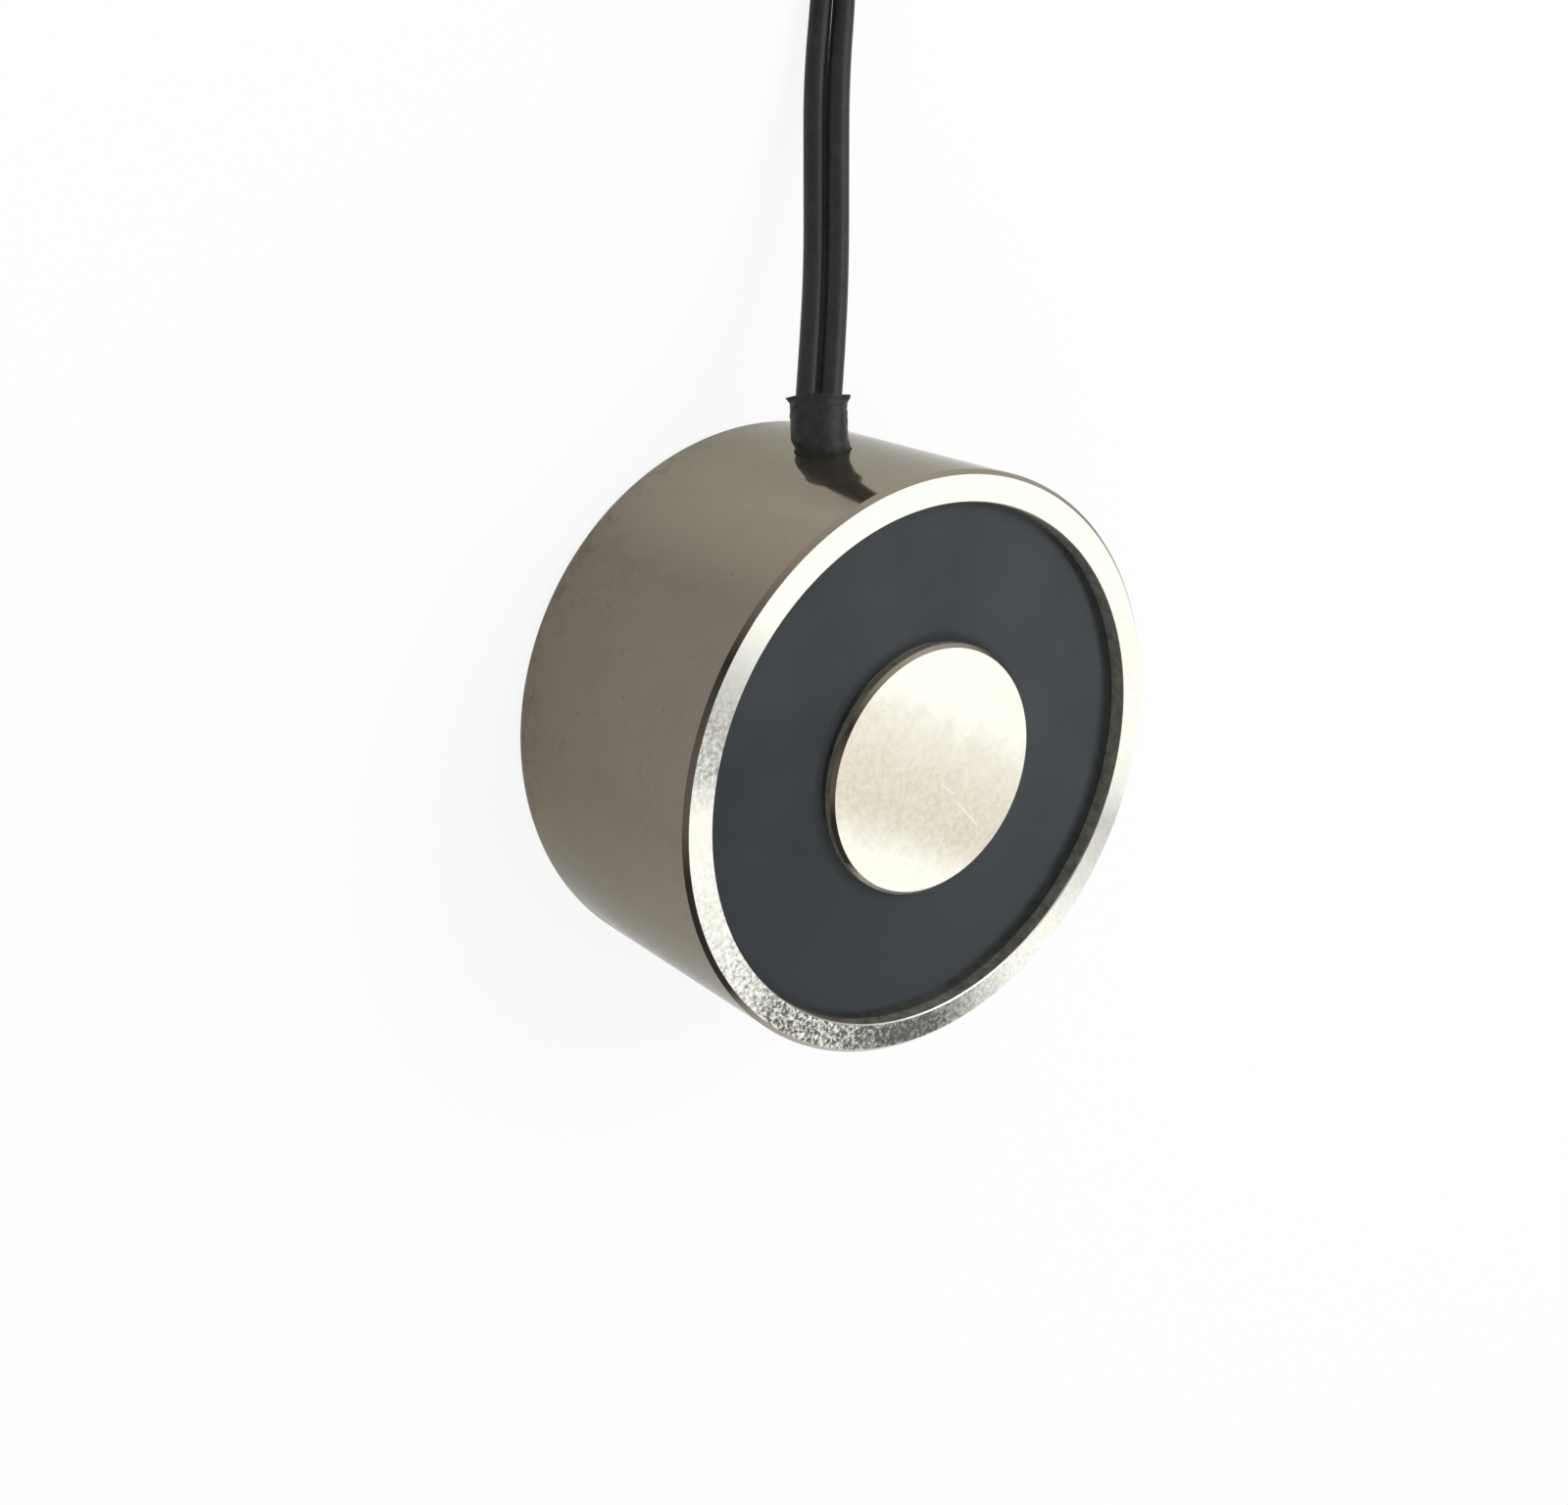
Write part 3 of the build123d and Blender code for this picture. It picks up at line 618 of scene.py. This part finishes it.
class MAGNET_OT_stage(bpy.types.Operator):
    """Set the camera, the white floor and the soft light"""

    bl_idname = "magnet.stage"
    bl_label = "Stage"

    # Where the photograph was taken from: place in millimetres, and the view's right and up
    CAMERA_PLACE = Vector((-52.934, -75.385, 106.479))
    CAMERA_RIGHT = Vector((0.061585, 0.789097, 0.611173))
    CAMERA_UP = Vector((-0.911651, 0.293752, -0.287407))
    # Share of the floor that is white by itself, seen directly and in gloss, so that a soft shadow stays
    FLOOR_GLOW = 0.87
    FLOOR_GLOW_IN_GLOSS = 0.4
    SENSOR_WIDTH = 36
    # How near the camera sees, and the lamp's width and place, in metres
    NEAREST_SEEN = 0.005
    LAMP_WIDTH = 0.5
    LAMP_PLACE = Vector((-0.25, 0.28, 0.5))

    def execute(self, context):
        stage = context.scene.magnet_stage
        context.scene.view_settings.view_transform = "Standard"
        self.add_camera(context, stage)
        self.add_floor(context, stage)
        self.add_light(context, stage)
        return {"FINISHED"}

    def add_camera(self, context, stage):
        """Camera at the photograph's viewing angle."""
        camera = bpy.data.objects.new("camera", bpy.data.cameras.new("camera"))
        context.scene.collection.objects.link(camera)
        back = self.CAMERA_RIGHT.cross(self.CAMERA_UP)
        turn = Matrix((self.CAMERA_RIGHT, self.CAMERA_UP, back)).transposed()
        camera.matrix_world = Matrix.Translation(self.CAMERA_PLACE * MM) @ turn.to_4x4()
        camera.data.lens = stage.lens
        camera.data.sensor_width = self.SENSOR_WIDTH
        camera.data.clip_start = self.NEAREST_SEEN
        context.scene.camera = camera

    def add_floor(self, context, stage):
        """Plain white floor that keeps the magnet's shadow."""
        half = stage.floor_size / 2
        plane = bmesh.new()
        corners = [plane.verts.new((x * half, y * half, 0)) for x, y in ((-1, -1), (1, -1), (1, 1), (-1, 1))]
        plane.faces.new(corners)
        mesh = bpy.data.meshes.new("floor")
        plane.to_mesh(mesh)
        plane.free()
        floor = bpy.data.objects.new("floor", mesh)
        context.scene.collection.objects.link(floor)
        # Matt white paper: it scatters the light, and seen directly or in metal it is partly white by itself
        material, node, _ = new_material("white_paper")
        paper = node("ShaderNodeBsdfDiffuse", {"Color": (0.9, 0.9, 0.9, 1)})
        glow = node("ShaderNodeEmission", {"Color": (1, 1, 1, 1), "Strength": 1.0})
        seen = self.seen_share(node, self.FLOOR_GLOW, self.FLOOR_GLOW_IN_GLOSS)
        surface = node("ShaderNodeMixShader", {0: seen, 1: paper, 2: glow})
        node("ShaderNodeOutputMaterial", {"Surface": surface})
        mesh.materials.append(material)

    def seen_share(self, node, direct, in_gloss):
        """One share for rays from the camera, one for those from gloss or through glass, 0 for the rest."""
        rays = node("ShaderNodeLightPath").outputs
        shares = {"Is Camera Ray": direct, "Is Glossy Ray": in_gloss, "Is Transmission Ray": in_gloss}
        seen = 0.0
        for kind, share in shares.items():
            part = node("ShaderNodeMath", {0: rays[kind], 1: share}, operation="MULTIPLY")
            seen = node("ShaderNodeMath", {0: seen, 1: part}, operation="MAXIMUM")
        return seen

    def add_light(self, context, stage):
        """Even sky and one large soft lamp from the leads' side."""
        world = bpy.data.worlds.new("studio")
        context.scene.world = world
        world.use_nodes = True
        world.node_tree.nodes.clear()
        node = partial(add_node, world.node_tree)
        sky = node("ShaderNodeBackground", {"Color": (1, 1, 1, 1), "Strength": stage.sky})
        white = node("ShaderNodeBackground", {"Color": (1, 1, 1, 1), "Strength": 1.0})
        seen = self.seen_share(node, 1.0, 1.0)
        both = node("ShaderNodeMixShader", {0: seen, 1: sky, 2: white})
        node("ShaderNodeOutputWorld", {"Surface": both})
        lamp = bpy.data.lights.new("key_softbox", "AREA")
        lamp.shape = "DISK"
        lamp.size = self.LAMP_WIDTH
        lamp.energy = stage.key
        key = bpy.data.objects.new("key_softbox", lamp)
        key.location = self.LAMP_PLACE
        key.rotation_euler = (-self.LAMP_PLACE).to_track_quat("-Z", "Y").to_euler()
        context.scene.collection.objects.link(key)


class MAGNET_OT_exit_sleeve(bpy.types.Operator):
    """Shrink the ragged sleeve round both leads where they leave the wall"""

    bl_idname = "magnet.exit_sleeve"
    bl_label = "Exit sleeve"

    # Lengths of the run in the wall, of the bend and of the whole sleeve, in millimetres
    STRAIGHT = CUP_RADIUS - CUP_INNER_RADIUS
    BEND = SLEEVE_BEND_RADIUS * SLEEVE_LEAN
    LENGTH = STRAIGHT + BEND + SLEEVE_LIP_RUN
    # Outside the wall the sleeve turns oval between two margins, and widens and sags from its start
    OVAL_MARGIN = 0.3
    WIDENING_START = 0.1
    WIDENING_RUN = 0.7
    LIP_HALF_HEIGHT = 1.38
    LIP_SPREAD = 0.06
    LIP_GAPE = 0.04
    LIP_SETBACK = 0.08
    EAR = 0.25
    EAR_LIFT = 0.12
    EAR_RUN = 0.42
    EAR_SHARPNESS = 8
    # Depth and closeness of the wrinkles, and of the ragged cut
    WRINKLE = 0.08
    WRINKLES_ROUND = 2.0
    WRINKLES_ALONG = 2.2
    RAGGED = 0.07
    RAGGED_ROUND = 3.0
    RAGGED_PLACE = 7.0
    SIDES = 112
    STEPS = 72

    def execute(self, context):
        sleeve = bmesh.new()
        outside = []
        inside = []
        for step in range(self.STEPS + 1):
            run = step / self.STEPS * self.LENGTH
            outside.append(self.ring(sleeve, run, 0.0))
            inside.append(self.ring(sleeve, run, SLEEVE_WALL))
        skin(sleeve, outside + inside[::-1] + [outside[0]])
        sharpen(sleeve, radians(60))
        tube = shrunk_polyolefin(context.scene.magnet_finish)
        mesh_piece("shrunk_sleeve", sleeve, [tube], "heat_shrink_tube", "exit_sleeve")
        return {"FINISHED"}

    def centre_line(self, run):
        """Place and direction on the sleeve's path, so many millimetres along it."""
        if run <= self.STRAIGHT:
            return Vector((-CUP_INNER_RADIUS - run, 0, EXIT_HEIGHT)), outward
        if run <= self.STRAIGHT + self.BEND:
            angle = (run - self.STRAIGHT) / SLEEVE_BEND_RADIUS
            centre = Vector((-CUP_RADIUS, 0, EXIT_HEIGHT)) + lean_side * SLEEVE_BEND_RADIUS
            place = centre - (lean_side * cos(angle) - outward * sin(angle)) * SLEEVE_BEND_RADIUS
            return place, outward * cos(angle) + lean_side * sin(angle)
        return bend_end + lean_direction * (run - self.STRAIGHT - self.BEND), lean_direction

    def ring(self, sleeve, run, depth):
        """One ring of the skin: round in the wall's hole, oval at the cut lip, with an ear at each side."""
        outside = run - self.STRAIGHT
        oval_run = self.LENGTH - self.STRAIGHT - 2 * self.OVAL_MARGIN
        oval = smooth_step((outside - self.OVAL_MARGIN) / oval_run)
        widened = smooth_step((outside - self.WIDENING_START) / self.WIDENING_RUN)
        flare = smooth_step((run - self.LENGTH + self.EAR_RUN) / self.EAR_RUN)
        half_height = SLEEVE_RADIUS + (self.LIP_HALF_HEIGHT - SLEEVE_RADIUS) * oval
        half_width = SLEEVE_RADIUS + self.LIP_SPREAD * widened
        middle, along = self.centre_line(run)
        middle = middle - pair_side * (SLEEVE_SAG * widened)
        across = along.cross(pair_side).normalized()
        points = []
        for side in range(self.SIDES):
            angle = 2 * pi * side / self.SIDES
            turn = Vector((cos(angle), sin(angle), 0))
            creases = turn * self.WRINKLES_ROUND + Vector((0, 0, run * self.WRINKLES_ALONG))
            wrinkle = self.WRINKLE * oval * noise.noise(creases)
            cut = turn * self.RAGGED_ROUND + Vector((0, 0, self.RAGGED_PLACE))
            ragged = self.RAGGED * flare * noise.noise(cut)
            ear = flare * abs(turn.x) ** self.EAR_SHARPNESS
            width = half_width - depth + wrinkle + self.EAR * ear
            height = half_height - depth + wrinkle + self.LIP_GAPE * flare
            point = middle + pair_side * (width * turn.x) + across * (height * turn.y)
            point += along * (ragged + self.EAR_LIFT * ear - self.LIP_SETBACK * flare)
            points.append(sleeve.verts.new(point * MM))
        return points


class MAGNET_OT_leads(bpy.types.Operator):
    """Lay both leads from the sleeve to the coil, and turn the tinned strands at their ends"""

    bl_idname = "magnet.leads"
    bl_label = "Leads"

    OUTER_STRANDS = 6
    STRAND_RADIUS = 0.117
    STRAND_TWIST = 9.0
    TINNED_LENGTH = 6.0
    STRAND_STEPS = 40
    STRAND_SIDES = 10
    # Steps between two points of a lead's route, and the bevel resolution, which gives a lead 20 sides
    LEAD_STEPS = 8
    LEAD_ROUNDNESS = 8

    def execute(self, context):
        leads = context.scene.magnet_leads
        insulation = extruded_insulation(context.scene.magnet_finish)
        tin = uneven_finish("tinned_copper_strands", "#b9b9b6", 0.3, 0.02, Metallic=1.0, Roughness=0.35)
        for letter in LEAD_SIDES:
            points = lead_points(letter)
            strands = self.add_strands(letter, points, tin)
            dress_node(f"inner_lead_{letter}", insulation)
            self.add_lead(context, leads, letter, points, insulation, strands)
        return {"FINISHED"}

    def add_lead(self, context, leads, letter, points, insulation, strands):
        """One lead as a smooth round cord."""
        curve = bpy.data.curves.new(f"lead_{letter}_cord", "CURVE")
        curve.dimensions = "3D"
        spline = curve.splines.new("NURBS")
        spline.points.add(len(points) - 1)
        for place, point in zip(spline.points, points):
            place.co = (*(point * MM), 1)
        for place in list(spline.points)[:SWOLLEN_POINTS]:
            place.radius = SEEN_SWELL
        spline.points[SWOLLEN_POINTS].radius = (1 + SEEN_SWELL) / 2
        spline.order_u = 3
        spline.use_endpoint_u = True
        spline.resolution_u = self.LEAD_STEPS
        curve.bevel_depth = leads.diameter / 2
        curve.bevel_resolution = self.LEAD_ROUNDNESS
        curve.use_fill_caps = True
        curve.materials.append(insulation)
        cord = bpy.data.objects.new(f"lead_{letter}_cord", curve)
        context.scene.collection.objects.link(cord)
        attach(cord, BODY)
        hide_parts(f"lead_{letter}", f"lead_tail_{letter}", "lead_coil")
        with_pieces = [strands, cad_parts[f"inner_lead_{letter}"]]
        if letter == "a":
            with_pieces += [bpy.data.objects["shrunk_sleeve"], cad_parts["coil_tie"]]

    def add_strands(self, letter, points, tin):
        """Twisted tinned strands that stand out of the insulation's end."""
        end = points[-1]
        along = (points[-1] - points[-2]).normalized()
        side = along.cross(Vector((0, 0, 1))).normalized()
        over = side.cross(along)
        strands = bmesh.new()
        radius = self.STRAND_RADIUS
        outer = [(2 * radius, 2 * pi * i / self.OUTER_STRANDS) for i in range(self.OUTER_STRANDS)]
        for reach, phase in [(0.0, 0.0), *outer]:
            rings = []
            for step in range(self.STRAND_STEPS + 1):
                run = step / self.STRAND_STEPS * self.TINNED_LENGTH
                turn = phase + 2 * pi * run / self.STRAND_TWIST
                middle = end + along * run + side * (reach * cos(turn)) + over * (reach * sin(turn))
                rings.append([
                    strands.verts.new((middle + side * (radius * cos(a)) + over * (radius * sin(a))) * MM)
                    for a in (2 * pi * k / self.STRAND_SIDES for k in range(self.STRAND_SIDES))
                ])
            skin(strands, rings)
            strands.faces.new(rings[0])
            strands.faces.new(rings[-1])
        sharpen(strands, radians(50))
        return mesh_piece(f"strands_{letter}", strands, [tin], "tinned_copper", f"tinned_end_{letter}")


class MAGNET_OT_magnet_body(bpy.types.Operator):
    """Turn the steel cup with its pole, drill its side hole and give it its plate"""

    bl_idname = "magnet.magnet_body"
    bl_label = "Cup and pole"

    SEGMENTS = 384
    EDGE_STEPS = 6
    REAR_EDGE_RADIUS = 1.0
    RIM_OUTER_BREAK = 0.3
    RIM_INNER_BREAK = 0.08
    POLE_EDGE_BREAK = 0.25
    THREAD_RADIUS = 2.5
    THREAD_DEPTH = 8.0
    THREAD_MOUTH_BREAK = 0.4
    DRILL_RADIUS = 2.1
    DRILL_RUNOUT = 1.5
    DRILL_POINT = 1.262
    # Half height of the belt of the wall that holds the side hole, and steps round that hole
    HOLE_BELT = 3.0
    HOLE_SEGMENTS = 96
    # Places in the cup's list of finishes, whose first is the plate on all other faces
    RIM_FACE = 1
    POLE_FACE = 2
    BROKEN_EDGE = 3
    SMEARED_WALL = 4
    FACE_SLACK = 0.01

    def execute(self, context):
        finish = context.scene.magnet_finish
        materials = [
            polished_nickel_plate(finish),
            ground_nickel("ground_nickel_rim", finish.ground, finish.rim_dull, rim_wear),
            ground_nickel("ground_nickel_pole", finish.ground, finish.pole_dull, pole_wear),
            broken_edge(finish),
            smeared_plate(finish),
        ]
        cup = bmesh.new()
        self.turn_profile(cup)
        piece = mesh_piece("turned_cup", cup, materials, "nickel_plated_steel", "magnet_body")
        self.drill_side_hole(context, piece)
        self.finish_faces(piece)
        return {"FINISHED"}

    def profile(self):
        """Radius and height along the turned section, from the drill point round the outside to the pole."""
        drill_end = self.THREAD_DEPTH + self.DRILL_RUNOUT
        rear = [
            (CUP_RADIUS - self.REAR_EDGE_RADIUS * (1 - sin(a)), self.REAR_EDGE_RADIUS * (1 - cos(a)))
            for a in (pi / 2 * k / self.EDGE_STEPS for k in range(self.EDGE_STEPS + 1))
        ]
        return [
            (0, drill_end + self.DRILL_POINT),
            (self.DRILL_RADIUS, drill_end),
            (self.DRILL_RADIUS, self.THREAD_DEPTH),
            (self.THREAD_RADIUS, self.THREAD_DEPTH),
            (self.THREAD_RADIUS, self.THREAD_MOUTH_BREAK),
            (self.THREAD_RADIUS + self.THREAD_MOUTH_BREAK, 0),
            *rear,
            (CUP_RADIUS, EXIT_HEIGHT - self.HOLE_BELT),
            (CUP_RADIUS, EXIT_HEIGHT + self.HOLE_BELT),
            (CUP_RADIUS, MAGNET_HEIGHT - self.RIM_OUTER_BREAK),
            (CUP_RADIUS - self.RIM_OUTER_BREAK, MAGNET_HEIGHT),
            (CUP_INNER_RADIUS + self.RIM_INNER_BREAK, MAGNET_HEIGHT),
            (CUP_INNER_RADIUS, MAGNET_HEIGHT - self.RIM_INNER_BREAK),
            (CUP_INNER_RADIUS, CUP_BASE),
            (POLE_RADIUS, CUP_BASE),
            (POLE_RADIUS, MAGNET_HEIGHT - self.POLE_EDGE_BREAK),
            (POLE_RADIUS - self.POLE_EDGE_BREAK, MAGNET_HEIGHT),
            (0, MAGNET_HEIGHT),
        ]

    def turn_profile(self, cup):
        """Turns the section about the axis."""
        rings = []
        section = self.profile()
        for radius, height in section[1:-1]:
            rings.append([
                cup.verts.new((radius * cos(a) * MM, radius * sin(a) * MM, height * MM))
                for a in (2 * pi * k / self.SEGMENTS for k in range(self.SEGMENTS))
            ])
        skin(cup, rings)
        for ring, (_, height) in ((rings[0], section[0]), (rings[-1], section[-1])):
            middle = cup.verts.new((0, 0, height * MM))
            for i in range(self.SEGMENTS):
                cup.faces.new((middle, ring[i], ring[(i + 1) % self.SEGMENTS]))
        bmesh.ops.recalc_face_normals(cup, faces=cup.faces)

    def drill_side_hole(self, context, piece):
        """Cuts the hole through which the sleeve leaves the wall."""
        drill = bmesh.new()
        middle = Vector((-(CUP_RADIUS + CUP_INNER_RADIUS) / 2, 0, EXIT_HEIGHT))
        bmesh.ops.create_cone(
            drill,
            cap_ends=True,
            segments=self.HOLE_SEGMENTS,
            radius1=EXIT_HOLE_RADIUS * MM,
            radius2=EXIT_HOLE_RADIUS * MM,
            depth=2 * (CUP_RADIUS - CUP_INNER_RADIUS) * MM,
            matrix=Matrix.Translation(middle * MM) @ Matrix.Rotation(pi / 2, 4, "Y"),
        )
        mesh = bpy.data.meshes.new("side_drill")
        drill.to_mesh(mesh)
        drill.free()
        cutter = bpy.data.objects.new("side_drill", mesh)
        context.scene.collection.objects.link(cutter)
        cut = piece.modifiers.new("side_hole", "BOOLEAN")
        cut.operation = "DIFFERENCE"
        cut.solver = "EXACT"
        cut.object = cutter
        evaluated = piece.evaluated_get(context.evaluated_depsgraph_get())
        drilled = bpy.data.meshes.new_from_object(evaluated)
        piece.modifiers.clear()
        piece.data = drilled
        bpy.data.objects.remove(cutter)

    def finish_faces(self, piece):
        """Ground faces, broken edges, walls smeared by the potting, and plate on all else."""
        for polygon in piece.data.polygons:
            reach = Vector(polygon.center[:2]).length / MM
            height = polygon.center.z / MM
            if height > MAGNET_HEIGHT - self.FACE_SLACK:
                polygon.material_index = self.RIM_FACE if reach > POLE_RADIUS else self.POLE_FACE
            elif height > MAGNET_HEIGHT - self.RIM_OUTER_BREAK:
                polygon.material_index = self.BROKEN_EDGE
            elif height > CUP_BASE and reach < CUP_INNER_RADIUS + self.FACE_SLACK:
                polygon.material_index = self.SMEARED_WALL
            polygon.use_smooth = True
        piece.data.set_sharp_from_angle(angle=radians(20))


class MAGNET_OT_thread(bpy.types.Operator):
    """Cut the M5 thread's ridges in the hole of the back face"""

    bl_idname = "magnet.thread"
    bl_label = "Tapped hole"

    PITCH = 0.8
    ROOT_RADIUS = 2.5
    CREST_RADIUS = 2.08
    START = 0.3
    END = 7.9
    STEPS_PER_TURN = 64
    # The ridge runs out over so many turns at both ends, down to this share of its depth
    RUN_OUT = 0.5
    LEAST_DEPTH = 0.05
    # Section of the ridge: inwards as a share of its depth, and along the pitch in millimetres
    RIDGE = ((-0.05, 0.04), (1.0, 0.33), (1.0, 0.43), (-0.05, 0.72))

    def execute(self, context):
        thread = bmesh.new()
        turns = (self.END - self.START - self.PITCH) / self.PITCH
        steps = ceil(turns * self.STEPS_PER_TURN)
        rings = []
        for step in range(steps + 1):
            turn = step / steps * turns
            angle = 2 * pi * turn
            full = smooth_step(turn / self.RUN_OUT) * smooth_step((turns - turn) / self.RUN_OUT)
            depth = (self.ROOT_RADIUS - self.CREST_RADIUS) * max(full, self.LEAST_DEPTH)
            ring = []
            for share, rise in self.RIDGE:
                radius = self.ROOT_RADIUS - depth * share
                height = self.START + self.PITCH * turn + rise
                place = Vector((radius * cos(angle), radius * sin(angle), height))
                ring.append(thread.verts.new(place * MM))
            rings.append(ring)
        skin(thread, rings)
        thread.faces.new(rings[0])
        thread.faces.new(rings[-1])
        sharpen(thread, radians(25))
        steel = uneven_finish("tapped_plated_steel", "#8d877c", 0.2, 0.02, Metallic=1.0, Roughness=0.3)
        mesh_piece("rear_thread", thread, [steel], "nickel_plated_steel")
        return {"FINISHED"}


class MAGNET_OT_potting(bpy.types.Operator):
    """Pour the potting, which creeps a little up both walls"""

    bl_idname = "magnet.potting"
    bl_label = "Potting"

    BELOW_POLE = 0.76
    BELOW_RIM = 1.12
    DISH = 0.12
    CREEP = 0.03
    CREEP_REACH = 0.2
    CREEP_UNEVENNESS = 0.8
    CREEPS_ROUND = 4.0
    SWELL = 0.02
    SWELLS_PER_MM = 0.2
    SWELL_PLACE = 3.0
    # Thickness of the drawn layer, how far it stands above the cast solid, and its slack at both walls
    SKIN = 0.3
    LIFT = 0.03
    WALL_SLACK = 0.01
    SEGMENTS = 256
    STEPS = 60

    def execute(self, context):
        epoxy = cast_potting_epoxy(context.scene.magnet_finish)
        dress_node("potting_resin", epoxy)
        surface = bmesh.new()
        inner = POLE_RADIUS + self.WALL_SLACK
        outer = CUP_INNER_RADIUS - self.WALL_SLACK
        tops = []
        for step in range(self.STEPS + 1):
            # Rings lie closer together near the walls
            share = 0.5 - 0.5 * cos(pi * step / self.STEPS)
            tops.append(self.ring(surface, inner + (outer - inner) * share, share, inner, outer))
        floor = (MAGNET_HEIGHT - self.BELOW_RIM - self.SKIN) * MM
        bottoms = [[surface.verts.new((v.co.x, v.co.y, floor)) for v in ring] for ring in (tops[-1], tops[0])]
        skin(surface, tops + bottoms + [tops[0]])
        sharpen(surface, radians(50))
        mesh_piece("potting_surface", surface, [epoxy], "potting_epoxy")
        return {"FINISHED"}

    def ring(self, surface, radius, share, inner, outer):
        """One ring of the poured surface."""
        slope = (self.BELOW_POLE - self.BELOW_RIM) * share
        flat = slope - self.BELOW_POLE - self.DISH * 4 * share * (1 - share)
        to_wall = min(radius - inner, outer - radius)
        creep = self.CREEP * max(0.0, 1 - to_wall / self.CREEP_REACH) ** 2
        points = []
        for step in range(self.SEGMENTS):
            angle = 2 * pi * step / self.SEGMENTS
            turn = Vector((cos(angle), sin(angle), 0))
            swell = noise.noise(turn * (radius * self.SWELLS_PER_MM) + Vector((0, 0, self.SWELL_PLACE)))
            uneven = noise.noise(turn * self.CREEPS_ROUND + Vector((0, 0, radius)))
            height = MAGNET_HEIGHT + flat + self.LIFT + self.SWELL * swell
            height += creep * (1 + self.CREEP_UNEVENNESS * uneven)
            points.append(surface.verts.new((turn * radius + Vector((0, 0, height))) * MM))
        return points


class MAGNET_OT_inner_pieces(bpy.types.Operator):
    """Give the pieces inside the cup and the cable tie their finishes"""

    bl_idname = "magnet.inner_pieces"
    bl_label = "Inner pieces and tie"

    TIE_ROUNDING = 0.12

    def execute(self, context):
        dress_node("coil_bobbin", uneven_finish("moulded_nylon", "#ddd8c8", 0.8, 0.03, Roughness=0.45))
        dress_node("coil_winding", enamelled_copper())
        dress_node("winding_tape", uneven_finish("polyester_film_tape", "#c79a3a", 1.5, 0.05, Roughness=0.3))
        tube = uneven_finish("silicone_coated_tube", "#d9d7cf", 0.4, 0.04, Roughness=0.55)
        solder = uneven_finish("tin_solder", "#a3a5a6", 0.5, 0.06, Metallic=1.0, Roughness=0.38)
        for letter in LEAD_SIDES:
            dress_node(f"splice_sleeve_{letter}", tube)
            dress_node(f"splice_joint_{letter}", solder)
        black_nylon = uneven_finish("black_moulded_nylon", "#1f2021", 0.5, 0.03, Roughness=0.4)
        tie = dress_node("coil_tie", black_nylon)
        rounding = tie.modifiers.new("moulded_edges", "BEVEL")
        rounding.width = self.TIE_ROUNDING * MM
        rounding.segments = 3
        rounding.limit_method = "ANGLE"
        rounding.angle_limit = radians(50)
        return {"FINISHED"}


class MAGNET_PT_panel(bpy.types.Panel):
    """Lists the steps that dress the magnet"""

    bl_idname = "MAGNET_PT_panel"
    bl_label = "Holding Electromagnet"
    bl_space_type = "VIEW_3D"
    bl_region_type = "UI"
    bl_category = "Magnet"

    def draw(self, context):
        for group in GROUPS:
            settings = getattr(context.scene, group)
            box = self.layout.box()
            for name in settings.__annotations__:
                box.prop(settings, name)
        for step in STEPS:
            self.layout.operator(step.bl_idname)


STEPS = (
    MAGNET_OT_stage,
    MAGNET_OT_exit_sleeve,
    MAGNET_OT_leads,
    MAGNET_OT_magnet_body,
    MAGNET_OT_thread,
    MAGNET_OT_potting,
    MAGNET_OT_inner_pieces,
)
GROUPS = {
    "magnet_finish": MagnetFinishSettings,
    "magnet_leads": LeadSettings,
    "magnet_stage": StageSettings,
}


def register():
    for name, group in GROUPS.items():
        bpy.utils.register_class(group)
        setattr(bpy.types.Scene, name, bpy.props.PointerProperty(type=group))
    for step in (*STEPS, MAGNET_PT_panel):
        bpy.utils.register_class(step)


def unregister():
    for step in (MAGNET_PT_panel, *reversed(STEPS)):
        bpy.utils.unregister_class(step)
    for name, group in reversed(GROUPS.items()):
        delattr(bpy.types.Scene, name)
        bpy.utils.unregister_class(group)


def main():
    """Makes every piece in order."""
    register()
    for step in STEPS:
        getattr(bpy.ops.magnet, step.bl_idname.removeprefix("magnet."))()


if __name__ == "__main__":
    main()
